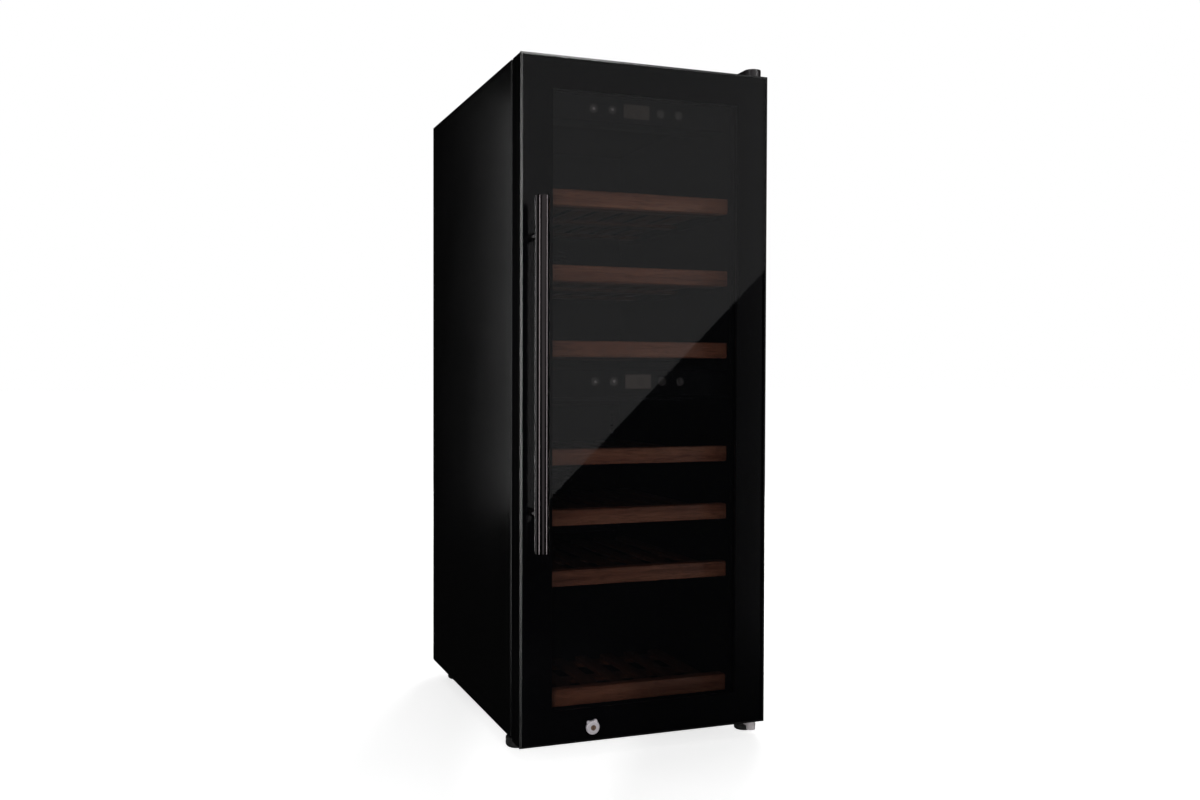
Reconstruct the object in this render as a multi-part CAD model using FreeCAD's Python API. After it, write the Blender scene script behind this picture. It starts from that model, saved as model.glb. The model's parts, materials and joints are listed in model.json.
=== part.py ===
import FreeCAD, Part
import math
import os

from FreeCAD import Vector

# Dual-zone wine cooler: a tall foamed cabinet with a full glass door, six sliding wooden shelves
# and a wooden floor rack. Millimetres, +Z up. The origin is on the floor at the centre of the overall
# box. +Y points to the back, and the door is hinged on the +X side.

os.makedirs("parts", exist_ok=True)

# ---------------------------------------------------------------- driving dimensions
WIDTH = 395.0
DOOR_HEIGHT = 992.0
DOOR_LIFT = 20.0                 # door's lower edge above the floor
CABINET_LIFT = 24.0              # base sheet's underside above the floor
CABINET_TOP = 1011.0
CABINET_DEPTH = 504.0
DOOR_TO_CABINET = 46.3           # front of the glass to the cabinet's front flange
HANDLE_DIAMETER = 20.5
HANDLE_STAND_OFF = 50.0          # handle's axis in front of the glass
HANDLE_INSET = 16.5              # handle's axis from the door's free edge
HANDLE_BOTTOM = 306.0
HANDLE_LENGTH = 497.0
HANDLE_POST_INSET = 54.0
HANDLE_POST_DIAMETER = 12.0
HANDLE_STUD_RADIUS = 3.0
HANDLE_STUD_LENGTH = 20.0

SHEET = 1.0                      # outer steel sheet
LINER = 1.5                      # inner plastic skin
WALL = 39.5                      # outer face to cavity
BACK_WALL = 45.0
CAVITY_FLOOR = 60.0
CAVITY_CEILING = 972.0
DIVIDER_BOTTOM = 520.0
DIVIDER_TOP = 565.0
BAY_TOP = 200.0                  # compressor bay's roof
BAY_DEPTH = 208.0
STEP_THICKNESS = 34.5            # foam between the bay and the cavity

GLASS = 4.0
GLASS_BEVEL_WIDTH = 3.4          # across the glass's face
GLASS_BEVEL_DEPTH = 1.9          # down its edge
FRAME_WIDTH = 36.0
FRAME_INSET = 1.0                # frame's outer face behind the glass's edge
FRAME_BACK = 41.0                # frame's back plane behind the glass's front
PANE_FRONT = 16.0                # inner pane's front behind the glass's front
SPACER_WIDTH = 8.0
GASKET_WIDTH = 11.0
GASKET_BACK = 46.0

PIN_INSET = 14.5                 # hinge axis from the door's hinged edge
PIN_BACK = 17.0                  # hinge axis behind the glass's front
PIN_DIAMETER = 8.0
PIN_CLEARANCE = 0.05
STILE_CHAMFER = 8.0              # off the hinge stile's outer back edge, to clear the cabinet as it turns

SHELF_WIDTH = 310.0
SHELF_DEPTH = 392.0
FASCIA_HEIGHT = 24.0
FASCIA_THICKNESS = 20.0
FASCIA_SET_BACK = 1.7            # fascia's front behind the cabinet's front flange
UPPER_SHELF_LOWEST = 582.0
UPPER_SHELF_PITCH = 112.0
LOWER_SHELF_LOWEST = 240.4
LOWER_SHELF_PITCH = 90.3
SLAT_COUNT = 7
SLAT_PITCH = 45.0
SLAT_WIDTH = 22.0
CROSS_RAIL_HEIGHT = 6.0
CROSS_RAIL_WIDTH = 30.0
FASCIA_ROUND = 1.5
RUNNER_INNER = 148.0
RUNNER_SET_BACK = 24.0
RUNNER_HEIGHT = 5.5
RUNNER_GAP = 0.2                 # under each shelf
SLAT_TOP = 13.0
RACK_BOTTOM = 61.0
RACK_HEIGHT = 25.5
RACK_DEPTH = 240.0

PANEL_HALF_WIDTH = 150.0
PANEL_WALL = 2.0
PANEL_DEPTH = 50.0
UPPER_PANEL_HEIGHTS = (933.0, 971.0)
UPPER_PANEL_CENTRE = 952.0
LOWER_PANEL_HEIGHTS = (522.0, 563.0)
LOWER_PANEL_CENTRE = 545.4
LOWER_PANEL_PROUD = 8.0          # lower panel's face in front of the cabinet's flange
UPPER_PANEL_SET_BACK = 2.0
DISPLAY_WIDTH = 42.0
DISPLAY_HEIGHT = 21.0
BUTTON_INNER = 39.5
BUTTON_OUTER = 69.5
BUTTON_DIAMETER = 12.6
BUTTON_PROUD = 1.2
BUTTON_TRAVEL = 0.8
BUTTON_GAP = 0.2
BOARD_SET_BACK = 6.0             # circuit board behind the panel's face
BOARD_THICKNESS = 1.6
BOARD_HALF_WIDTH = 90.0
BOARD_HALF_HEIGHT = 12.5

COVER_DEPTH = 50.0
COVER_HALF_WIDTH = 140.0
UPPER_COVER_HEIGHTS = (600.0, 900.0)
LOWER_COVER_HEIGHTS = (262.0, 500.0)
COVER_WALL = 2.0
GRILLE_RADIUS = 42.0
GRILLE_PITCH = 8.0
GRILLE_SLOT = 4.0
VENT_INNER = 60.0
VENT_OUTER = 125.0
VENT_ROWS = 6
COLD_PLATE_HALF = 110.0
COLD_TUBE_REACH = 92.0
COLD_TUBE_ROWS = 6
COLD_TUBE_RADIUS = 3.0
FAN_SIZE = 92.0
FAN_DEPTH = 25.0
FAN_BORE = 44.0
FAN_SHAFT = 2.0
FAN_SCREW_SPACING = 82.0
FAN_PLATE_RADIUS = 18.0
FAN_PLATE_THICKNESS = 4.0
FAN_HUB_RADIUS = 17.0
FAN_HUB_LENGTH = 17.0
BLADE_REACH = 42.5
BLADE_PITCH = 32.0               # degrees
BLADE_COUNT = 7

LOCK_X = -86.5
LOCK_HEIGHT = 41.0
LOCK_COLLAR_RADIUS = 10.3
LOCK_COLLAR_PROUD = 4.0
LOCK_CAM_REACH = 15.0
LOCK_CAM_HALF = 6.0
LOCK_CAM_THICKNESS = 2.4
LOCK_BARREL_RADIUS = 9.0
LOCK_CORE_RADIUS = 4.0
LOCK_GAP = 0.05

SCREW_HEAD = 1.6                 # rear screws' heads, proud of the back
SCREW_HEAD_RADIUS = 3.8
REAR_SCREW_HEIGHTS = (240.0, 480.0, 740.0, 990.0)

FOOT_RADIUS = 17.5
FOOT_HEIGHT = 15.5
FOOT_STUD_TOP = 46.0
SMALL_FOOT_RADIUS = 14.5         # the foot in the lower hinge bracket
SMALL_FOOT_HEIGHT = 9.0
SMALL_FOOT_STUD_TOP = 18.5
FOOT_NUT_GAP = 0.5
FOOT_NUT_RADIUS = 7.5
FOOT_STUD_RADIUS = 4.0
FOOT_SIDE_X = 176.5
FOOT_FRONT_Y = 34.0              # behind the cabinet's front
FOOT_REAR_X = 165.0

# ---------------------------------------------------------------- planes worked out from them
HALF = WIDTH / 2
HANDLE_REACH = HANDLE_STAND_OFF + HANDLE_DIAMETER / 2
TOTAL_DEPTH = HANDLE_REACH + DOOR_TO_CABINET + CABINET_DEPTH + SCREW_HEAD
GLASS_FRONT = HANDLE_REACH - TOTAL_DEPTH / 2
CABINET_FRONT = GLASS_FRONT + DOOR_TO_CABINET
CABINET_BACK = CABINET_FRONT + CABINET_DEPTH
DOOR_TOP = DOOR_LIFT + DOOR_HEIGHT
CAVITY_HALF = HALF - WALL
CAVITY_BACK = CABINET_BACK - BACK_WALL
SKIN_HALF = CAVITY_HALF + LINER
BAY_FRONT = CABINET_BACK - BAY_DEPTH
STEP_FRONT = BAY_FRONT - STEP_THICKNESS
STEP_TOP = BAY_TOP + STEP_THICKNESS
FASCIA_FRONT = CABINET_FRONT + FASCIA_SET_BACK
PIN_X = HALF - PIN_INSET
PIN_Y = GLASS_FRONT + PIN_BACK
FRAME_OUTER = HALF - FRAME_INSET
FRAME_INNER = FRAME_OUTER - FRAME_WIDTH
FRAME_LOW = DOOR_LIFT + FRAME_INSET
FRAME_HIGH = DOOR_TOP - FRAME_INSET
OPENING_LOW = FRAME_LOW + FRAME_WIDTH
OPENING_HIGH = FRAME_HIGH - FRAME_WIDTH
HANDLE_X = HANDLE_INSET - HALF
HANDLE_Y = GLASS_FRONT - HANDLE_STAND_OFF
COVER_FRONT = CAVITY_BACK - COVER_DEPTH
SHELF_HEIGHTS = [UPPER_SHELF_LOWEST + UPPER_SHELF_PITCH * i for i in (2, 1, 0)]
SHELF_HEIGHTS += [LOWER_SHELF_LOWEST + LOWER_SHELF_PITCH * i for i in (2, 1, 0)]

X_AXIS = Vector(1, 0, 0)
Y_AXIS = Vector(0, 1, 0)
Z_AXIS = Vector(0, 0, 1)


# ---------------------------------------------------------------- helpers
def block(x_low, x_high, y_low, y_high, z_low, z_high):
    """A box between two corners."""
    return Part.makeBox(x_high - x_low, y_high - y_low, z_high - z_low, Vector(x_low, y_low, z_low))


def rod(radius, length, start, axis):
    return Part.makeCylinder(radius, length, Vector(*start), axis)


def ring(outer, inner, length, start, axis):
    return rod(outer, length, start, axis).cut(rod(inner, length, start, axis))


def prism(corners, sweep):
    """A flat outline swept along a vector."""
    points = [Vector(*corner) for corner in corners]
    return Part.Face(Part.makePolygon([*points, points[0]])).extrude(sweep)


def join(shapes):
    """One solid from pieces that overlap or touch."""
    first, *others = shapes
    return first.multiFuse(others).removeSplitter() if others else first


def edges_along(shape, axis, keep=lambda middle: True):
    """Straight edges parallel to an axis whose middle passes a test."""
    found = []
    for edge in shape.Edges:
        if edge.Curve.TypeId != "Part::GeomLine":
            continue
        direction = edge.Vertexes[1].Point - edge.Vertexes[0].Point
        if direction.cross(axis).Length < 1e-6 and keep(edge.CenterOfMass):
            found.append(edge)
    return found


def level_circles(shape, z):
    """Circular edges at one height."""
    circles = [e for e in shape.Edges if e.Curve.TypeId == "Part::GeomCircle"]
    return [e for e in circles if abs(e.CenterOfMass.z - z) < 1e-6]


def pipe(points, radius, bend):
    """A round tube along straight runs joined by arcs of one bend radius."""
    points = [Vector(*p) for p in points]
    edges = []
    last = points[0]
    for before, corner, after in zip(points, points[1:], points[2:]):
        back = (before - corner).normalize()
        ahead = (after - corner).normalize()
        half_turn = (math.pi - back.getAngle(ahead)) / 2
        cut = bend * math.tan(half_turn)
        start = corner + back * cut
        end = corner + ahead * cut
        bisector = (back + ahead).normalize()
        middle = corner + bisector * (bend / math.cos(half_turn) - bend)
        edges.append(Part.makeLine(last, start))
        edges.append(Part.Arc(start, middle, end).toShape())
        last = end
    edges.append(Part.makeLine(last, points[-1]))
    path = Part.Wire(edges)
    section = Part.Wire([Part.makeCircle(radius, points[0], points[1] - points[0])])
    return path.makePipeShell([section], True, False)


def save(name, shapes):
    """Writes one node: a solid, or separate solids that belong together."""
    solids = shapes if isinstance(shapes, list) else [shapes]
    whole = solids[0] if len(solids) == 1 else Part.makeCompound(solids)
    whole.exportStep(os.path.join("parts", name + ".step"))


# ---------------------------------------------------------------- feet
def foot_places():
    """The hinge side's front foot screws into the lower hinge bracket, and the others into the base."""
    return {
        "front_left": (-FOOT_SIDE_X, CABINET_FRONT + FOOT_FRONT_Y),
        "front_right": (HALF - 15.5, GLASS_FRONT + 40.0),
        "rear_left": (-FOOT_REAR_X, CABINET_BACK - 56.0),
        "rear_right": (FOOT_REAR_X, CABINET_BACK - 56.0),
    }


def foot(name, x, y):
    """A round glide, and the threaded stud it screws in by."""
    small = name == "front_right"
    radius = SMALL_FOOT_RADIUS if small else FOOT_RADIUS
    height = SMALL_FOOT_HEIGHT if small else FOOT_HEIGHT
    stud_top = SMALL_FOOT_STUD_TOP if small else FOOT_STUD_TOP
    glide = rod(radius, height, (x, y, 0), Z_AXIS)
    glide = glide.makeFillet(height / 3, level_circles(glide, 0))
    glide = glide.makeChamfer(1.0, level_circles(glide, height))
    return [glide, rod(FOOT_STUD_RADIUS, stud_top - height, (x, y, height), Z_AXIS)]


def foot_bore(x, y):
    """The hole a stud runs in, through the nut and the base."""
    return rod(FOOT_STUD_RADIUS + PIN_CLEARANCE, FOOT_STUD_TOP, (x, y, SMALL_FOOT_HEIGHT), Z_AXIS)


def foot_pocket(x, y):
    """Room in the foam above a stud."""
    return rod(FOOT_STUD_RADIUS + 2.0, FOOT_STUD_TOP - CABINET_LIFT, (x, y, CABINET_LIFT + SHEET), Z_AXIS)


def base_foot_places():
    return [place for name, place in foot_places().items() if name != "front_right"]


def base_nuts():
    """Nuts welded under the base for the three feet that it carries."""
    low = FOOT_HEIGHT + FOOT_NUT_GAP
    nuts = []
    for x, y in base_foot_places():
        nut = rod(FOOT_NUT_RADIUS, CABINET_LIFT - low, (x, y, low), Z_AXIS)
        nuts.append(nut.cut(foot_bore(x, y)))
    return nuts


# ---------------------------------------------------------------- cabinet shell
RETURN = 13.0                    # width of the side sheets' front return
BASE_FLANGE_TOP = 52.0
STRIKE_SLOT_REACH = 27.0         # slot's far end from the lock's axis
STRIKE_SLOT_HEIGHT = 15.0


def side_panel(side):
    """A steel sheet whose front edge is rolled inwards."""
    outer, inner = side * HALF, side * (HALF - RETURN)
    low, high = min(outer, inner), max(outer, inner)
    panel = block(low, high, CABINET_FRONT, CABINET_BACK, CABINET_LIFT, CABINET_TOP - SHEET)
    room_low, room_high = (low + SHEET, high) if side < 0 else (low, high - SHEET)
    room = block(room_low, room_high, CABINET_FRONT + SHEET, CABINET_BACK, CABINET_LIFT, CABINET_TOP)
    corner = edges_along(
        panel, Z_AXIS, lambda m: abs(m.x - outer) < 1 and abs(m.y - CABINET_FRONT) < 1
    )
    return panel.makeFillet(3.0, corner).cut(room.makeFillet(2.0, edges_along(
        room, Z_AXIS, lambda m: abs(m.x - outer) < 2 and abs(m.y - CABINET_FRONT) < 2
    )))


def top_panel():
    """The lid sheet, with a front return down to the liner's flange."""
    lid = block(-HALF, HALF, CABINET_FRONT, CABINET_BACK, CABINET_TOP - SHEET, CABINET_TOP)
    inner = HALF - RETURN
    lip = block(-inner, inner, CABINET_FRONT, CABINET_FRONT + SHEET, CABINET_TOP - RETURN, CABINET_TOP)
    return join([lid, lip])


def back_panel():
    """The rear sheet, cut out round the compressor bay."""
    inner = HALF - SHEET
    sheet = block(-inner, inner, CABINET_BACK - SHEET, CABINET_BACK, CABINET_LIFT, CABINET_TOP - SHEET)
    opening = block(-SKIN_HALF, SKIN_HALF, CABINET_BACK - 2, CABINET_BACK + 1, 0, BAY_TOP)
    return sheet.cut(opening)


def base_pan():
    """The base sheet, its front flange with the slot for the lock's cam, and the foot nuts."""
    inner = HALF - SHEET
    edge = HALF - RETURN
    front, top = CABINET_FRONT + SHEET, CABINET_LIFT + SHEET
    floor = block(-inner, inner, front, CABINET_BACK - SHEET, CABINET_LIFT, top)
    floor = floor.makeFillet(3.0, edges_along(floor, Z_AXIS, lambda m: m.y < CABINET_FRONT + 2))
    for x, y in base_foot_places():
        floor = floor.cut(foot_bore(x, y))
    slot_low, slot_high = LOCK_X - STRIKE_SLOT_REACH, LOCK_X + 9.0
    half_slot = STRIKE_SLOT_HEIGHT / 2
    beside_slot = (CABINET_FRONT, front, LOCK_HEIGHT - half_slot, LOCK_HEIGHT + half_slot)
    flange = [
        block(-edge, edge, CABINET_FRONT, front, CABINET_LIFT, LOCK_HEIGHT - half_slot),
        block(-edge, edge, CABINET_FRONT, front, LOCK_HEIGHT + half_slot, BASE_FLANGE_TOP),
        block(-edge, slot_low, *beside_slot),
        block(slot_high, edge, *beside_slot),
    ]
    return [floor, *flange, *base_nuts()]


def insulation():
    """Polyurethane foam between the steel and the liner, as the slabs it fills."""
    outer = HALF - SHEET
    front, back = CABINET_FRONT + LINER, CABINET_BACK - SHEET
    low, high = CABINET_LIFT + SHEET, CABINET_TOP - SHEET
    slabs = []
    for side in (-1, 1):
        x_low, x_high = sorted((side * SKIN_HALF, side * outer))
        slab = block(x_low, x_high, front, back, low, high)
        corner = edges_along(slab, Z_AXIS, lambda m: abs(abs(m.x) - outer) < 1 and abs(m.y - front) < 1)
        slab = slab.makeFillet(3.0, corner)
        for x, y in foot_places().values():
            slab = slab.cut(foot_pocket(x, y))
        slabs.append(slab)
    slabs.append(block(-SKIN_HALF, SKIN_HALF, front, back, CAVITY_CEILING + LINER, high))
    slabs.append(block(-SKIN_HALF, SKIN_HALF, CAVITY_BACK + LINER, back, STEP_TOP, CAVITY_CEILING + LINER))
    slabs.append(block(-SKIN_HALF, SKIN_HALF, STEP_FRONT + LINER, back, BAY_TOP, STEP_TOP - LINER))
    slabs.append(block(-SKIN_HALF, SKIN_HALF, STEP_FRONT + LINER, BAY_FRONT, CAVITY_FLOOR - LINER, BAY_TOP))
    lock_pocket = block(LOCK_X - 30, LOCK_X + 26, front - 1, front + 9,
                        LOCK_HEIGHT - 10, CAVITY_FLOOR - LINER - 1)
    floor = block(-SKIN_HALF, SKIN_HALF, front, BAY_FRONT, low, CAVITY_FLOOR - LINER).cut(lock_pocket)
    slabs.append(floor)
    return slabs


def tub(z_low, z_high, step):
    """An open-fronted plastic tub with 1.5 mm walls, stepped over the compressor bay where asked."""
    outer = block(-SKIN_HALF, SKIN_HALF, CABINET_FRONT, CAVITY_BACK + LINER, z_low - LINER, z_high + LINER)
    inner = block(-CAVITY_HALF, CAVITY_HALF, CABINET_FRONT - 1, CAVITY_BACK, z_low, z_high)
    if step:
        outer = outer.cut(block(-HALF, HALF, STEP_FRONT + LINER, CABINET_BACK, 0, STEP_TOP - LINER))
        inner = inner.cut(block(-HALF, HALF, STEP_FRONT, CABINET_BACK, 0, STEP_TOP))
    return outer, inner


def lower_panel_room():
    """The space that the lower control panel fills, in front of the divider."""
    return block(-PANEL_HALF_WIDTH, PANEL_HALF_WIDTH, CABINET_FRONT - 1,
                 CABINET_FRONT - LOWER_PANEL_PROUD + PANEL_DEPTH, DIVIDER_BOTTOM + LINER, DIVIDER_TOP - LINER)


def liner(z_low, z_high, flange_low, flange_high, step):
    """A tub with the front flange that the door's seal closes on."""
    outer, inner = tub(z_low, z_high, step)
    edge = HALF - RETURN
    flange = block(-edge, edge, CABINET_FRONT, CABINET_FRONT + LINER, flange_low, flange_high)
    return join([outer, flange]).cut(inner)


def zone_divider():
    """The insulated bar that parts the two zones, with a cheek at each end of the lower control panel."""
    bar = block(-SKIN_HALF, SKIN_HALF, CABINET_FRONT + LINER, CAVITY_BACK,
                DIVIDER_BOTTOM + LINER, DIVIDER_TOP - LINER)
    return bar.cut(lower_panel_room())


# ---------------------------------------------------------------- shelves
def slats(y_low, y_high, z_low):
    """Front-to-back strips that the bottles lie between."""
    strips = []
    for i in range(SLAT_COUNT):
        x = (i - (SLAT_COUNT - 1) / 2) * SLAT_PITCH
        strips.append(block(x - SLAT_WIDTH / 2, x + SLAT_WIDTH / 2, y_low, y_high,
                            z_low + CROSS_RAIL_HEIGHT, z_low + SLAT_TOP))
    return strips


def wooden_rack(z_low, height, depth):
    """A fascia, cross rails under the slats, and the slats."""
    half = SHELF_WIDTH / 2
    fascia = block(-half, half, FASCIA_FRONT, FASCIA_FRONT + FASCIA_THICKNESS, z_low, z_low + height)
    fascia = fascia.makeFillet(FASCIA_ROUND, edges_along(fascia, X_AXIS))
    rail_start = FASCIA_FRONT + FASCIA_THICKNESS
    rail_end = FASCIA_FRONT + depth
    rails = []
    for share in (0.0, 0.5, 1.0):
        y = rail_start + (rail_end - rail_start - CROSS_RAIL_WIDTH) * share
        rails.append(block(-half, half, y, y + CROSS_RAIL_WIDTH, z_low, z_low + CROSS_RAIL_HEIGHT))
    return [fascia, *rails, *slats(rail_start, rail_end, z_low)]


def shelf_runners():
    """A pair of ledges under each sliding shelf."""
    ledges = []
    for z in SHELF_HEIGHTS:
        for side in (-1, 1):
            x_low, x_high = sorted((side * RUNNER_INNER, side * CAVITY_HALF))
            top = z - RUNNER_GAP
            ledge = block(x_low, x_high, FASCIA_FRONT + RUNNER_SET_BACK, COVER_FRONT - 4.0,
                          top - RUNNER_HEIGHT, top)
            inner = edges_along(ledge, Y_AXIS, lambda m: abs(m.x) < RUNNER_INNER + 1)
            ledges.append(ledge.makeFillet(1.2, inner))
    return ledges


# ---------------------------------------------------------------- control panels
def button_places():
    return {"up": -BUTTON_OUTER, "down": -BUTTON_INNER, "set": BUTTON_INNER, "power": BUTTON_OUTER}


def control_housing(face, heights, centre):
    """A closed box with a display window and four button holes in its face."""
    low, high = heights
    shell = block(-PANEL_HALF_WIDTH, PANEL_HALF_WIDTH, face, face + PANEL_DEPTH, low, high)
    shell = shell.makeFillet(2.0, edges_along(shell, X_AXIS, lambda m: m.y < face + 1))
    room = block(-PANEL_HALF_WIDTH + PANEL_WALL, PANEL_HALF_WIDTH - PANEL_WALL, face + PANEL_WALL,
                 face + PANEL_DEPTH - PANEL_WALL, low + PANEL_WALL, high - PANEL_WALL)
    shell = shell.cut(room)
    window = block(-DISPLAY_WIDTH / 2, DISPLAY_WIDTH / 2, face - 1, face + 5,
                   centre - DISPLAY_HEIGHT / 2, centre + DISPLAY_HEIGHT / 2)
    shell = shell.cut(window)
    for x in button_places().values():
        shell = shell.cut(rod(BUTTON_DIAMETER / 2 + BUTTON_GAP, 5.0, (x, face - 1, centre), Y_AXIS))
    return shell


def display_board(face, centre):
    """The lens in the window, the display behind it and their circuit board."""
    gap = 0.1
    lens = block(-DISPLAY_WIDTH / 2 + gap, DISPLAY_WIDTH / 2 - gap, face - 0.4, face + BOARD_SET_BACK,
                 centre - DISPLAY_HEIGHT / 2 + gap, centre + DISPLAY_HEIGHT / 2 - gap)
    board_front = face + BOARD_SET_BACK
    board = block(-BOARD_HALF_WIDTH, BOARD_HALF_WIDTH, board_front, board_front + BOARD_THICKNESS,
                  centre - BOARD_HALF_HEIGHT, centre + BOARD_HALF_HEIGHT)
    return join([lens, board])


def button(x, face, centre):
    """A round cap with a retaining flange behind the panel and a stem short of the board."""
    cap = rod(BUTTON_DIAMETER / 2, BUTTON_PROUD + PANEL_WALL + 0.4, (x, face - BUTTON_PROUD, centre), Y_AXIS)
    front = [e for e in cap.Edges if e.Curve.TypeId == "Part::GeomCircle" and e.CenterOfMass.y < face - 1]
    cap = cap.makeFillet(0.6, front)
    flange = rod(BUTTON_DIAMETER / 2 + 1.2, 1.0, (x, face + PANEL_WALL + 0.05, centre), Y_AXIS)
    stem_start = face + PANEL_WALL + 1.0
    stem_end = face + BOARD_SET_BACK - BUTTON_TRAVEL - 0.1
    stem = rod(2.0, stem_end - stem_start, (x, stem_start, centre), Y_AXIS)
    return join([cap, flange, stem])


# ---------------------------------------------------------------- cooling
def fan_frame(x, y, z):
    """A square fan's frame: a bore, four struts and a bearing plate."""
    half = FAN_SIZE / 2
    frame = block(x - half, x + half, y, y + FAN_DEPTH, z - half, z + half)
    frame = frame.makeFillet(5.0, edges_along(frame, Y_AXIS))
    frame = frame.cut(rod(FAN_BORE, FAN_DEPTH, (x, y, z), Y_AXIS))
    screw = FAN_SCREW_SPACING / 2
    for dx in (-screw, screw):
        for dz in (-screw, screw):
            frame = frame.cut(rod(2.2, FAN_DEPTH, (x + dx, y, z + dz), Y_AXIS))
    plate_start = y + FAN_DEPTH - FAN_PLATE_THICKNESS
    plate = rod(FAN_PLATE_RADIUS, FAN_PLATE_THICKNESS, (x, plate_start, z), Y_AXIS)
    struts = [
        block(x - half + 1, x + half - 1, plate_start, plate_start + 3.0, z - 2.0, z + 2.0),
        block(x - 2.0, x + 2.0, plate_start, plate_start + 3.0, z - half + 1, z + half - 1),
    ]
    frame = join([frame, plate, *struts])
    return frame.cut(rod(FAN_SHAFT + PIN_CLEARANCE, 6.0, (x, plate_start - 1, z), Y_AXIS))


def fan_rotor(x, y, z):
    """A hub, pitched blades and the shaft that runs in the frame's bearing plate."""
    hub = rod(FAN_HUB_RADIUS, FAN_HUB_LENGTH, (x, y + 3.0, z), Y_AXIS)
    front = [e for e in hub.Edges if e.Curve.TypeId == "Part::GeomCircle" and e.CenterOfMass.y < y + 4]
    hub = hub.makeFillet(3.0, front)
    shaft = rod(FAN_SHAFT, 5.0, (x, y + 19.5, z), Y_AXIS)
    blades = []
    for i in range(BLADE_COUNT):
        blade = block(x - 11.0, x + 11.0, y + 10.0, y + 12.0, z + FAN_HUB_RADIUS - 3.0, z + BLADE_REACH - 1.5)
        blade.rotate(Vector(x, y + 11.0, z), Z_AXIS, BLADE_PITCH)
        blade.rotate(Vector(x, y + 11.0, z), Y_AXIS, i * 360.0 / BLADE_COUNT)
        blades.append(blade)
    reach = ring(BLADE_REACH, 10.0, 20.0, (x, y + 1.0, z), Y_AXIS)
    trimmed = [blade.common(reach) for blade in blades]
    return join([hub, shaft, *trimmed])


def evaporator_cover(heights):
    """A moulded cover at the back of a zone, slotted in a round grille in front of its fan."""
    low, high = heights
    centre = (low + high) / 2
    shell = block(-COVER_HALF_WIDTH, COVER_HALF_WIDTH, COVER_FRONT, CAVITY_BACK, low, high)
    shell = shell.makeFillet(6.0, edges_along(shell, X_AXIS, lambda m: m.y < COVER_FRONT + 1)
                             + edges_along(shell, Z_AXIS, lambda m: m.y < COVER_FRONT + 1))
    room = block(-COVER_HALF_WIDTH + COVER_WALL, COVER_HALF_WIDTH - COVER_WALL, COVER_FRONT + COVER_WALL,
                 CAVITY_BACK + 1, low + COVER_WALL, high - COVER_WALL)
    shell = shell.cut(room)
    slots = []
    for i in range(-4, 5):
        half = math.sqrt(GRILLE_RADIUS ** 2 - (i * GRILLE_PITCH) ** 2)
        slots.append((-half, half, centre + i * GRILLE_PITCH))
    for i in range(VENT_ROWS):
        z = high - 14.0 - i * GRILLE_PITCH
        slots += [(-VENT_OUTER, -VENT_INNER, z), (VENT_INNER, VENT_OUTER, z)]
    for x_low, x_high, z in slots:
        shell = shell.cut(block(x_low, x_high, COVER_FRONT - 1, COVER_FRONT + COVER_WALL + 1,
                                z - GRILLE_SLOT / 2, z + GRILLE_SLOT / 2))
    return shell


def evaporator(heights):
    """An aluminium cold plate with its serpentine tube."""
    low, high = heights
    plate_front = CAVITY_BACK - 8.0
    plate = block(-COLD_PLATE_HALF, COLD_PLATE_HALF, plate_front, plate_front + 2.0, low + 25.0, high - 25.0)
    first = low + 45.0
    pitch = (high - low - 90.0) / (COLD_TUBE_ROWS - 1)
    tube_y = plate_front - COLD_TUBE_RADIUS / 2
    tubes = []
    for i in range(COLD_TUBE_ROWS):
        z = first + i * pitch
        tubes.append(rod(COLD_TUBE_RADIUS, 2 * COLD_TUBE_REACH, (-COLD_TUBE_REACH, tube_y, z), X_AXIS))
        if i < COLD_TUBE_ROWS - 1:
            side = COLD_TUBE_REACH if i % 2 else -COLD_TUBE_REACH
            tubes.append(rod(COLD_TUBE_RADIUS, pitch, (side, tube_y, z), Z_AXIS))
    return join([plate, *tubes])


COMPRESSOR_X = -72.0
COMPRESSOR_Y = CABINET_BACK - 104.0
COMPRESSOR_RADIUS = 58.0
COMPRESSOR_HEIGHT = 114.0
COMPRESSOR_PLATE = 3.2
MOUNT_SPACING_X = 132.0
MOUNT_SPACING_Y = 76.0
PLATE_LOW = CABINET_LIFT + SHEET + 18.0
CONDENSER_X = 92.0
CONDENSER_Y = BAY_FRONT + 30.0
CONDENSER_SIZE = 104.0
CONDENSER_DEPTH = 44.0
CONDENSER_Z = CABINET_LIFT + SHEET + 8.0
FIN_COUNT = 22
FIN_THICKNESS = 0.8
CONDENSER_FAN_Y = CONDENSER_Y + CONDENSER_DEPTH + 6.0
CONDENSER_FAN_Z = CONDENSER_Z + CONDENSER_SIZE / 2


def compressor():
    """The hermetic can with its mounting plate and the two pipe stubs."""
    can_low = PLATE_LOW + COMPRESSOR_PLATE - 0.2
    can = rod(COMPRESSOR_RADIUS, COMPRESSOR_HEIGHT, (COMPRESSOR_X, COMPRESSOR_Y, can_low), Z_AXIS)
    can = can.makeFillet(22.0, level_circles(can, can_low + COMPRESSOR_HEIGHT))
    can = can.makeFillet(8.0, level_circles(can, can_low))
    half_x, half_y = MOUNT_SPACING_X / 2 + 10.0, MOUNT_SPACING_Y / 2 + 10.0
    plate = block(COMPRESSOR_X - half_x, COMPRESSOR_X + half_x, COMPRESSOR_Y - half_y, COMPRESSOR_Y + half_y,
                  PLATE_LOW, PLATE_LOW + COMPRESSOR_PLATE)
    plate = plate.makeFillet(10.0, edges_along(plate, Z_AXIS))
    seam = ring(COMPRESSOR_RADIUS + 3.0, COMPRESSOR_RADIUS - 2.0, 3.0,
                (COMPRESSOR_X, COMPRESSOR_Y, PLATE_LOW + 66.0), Z_AXIS)
    return join([can, plate, seam])


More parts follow.
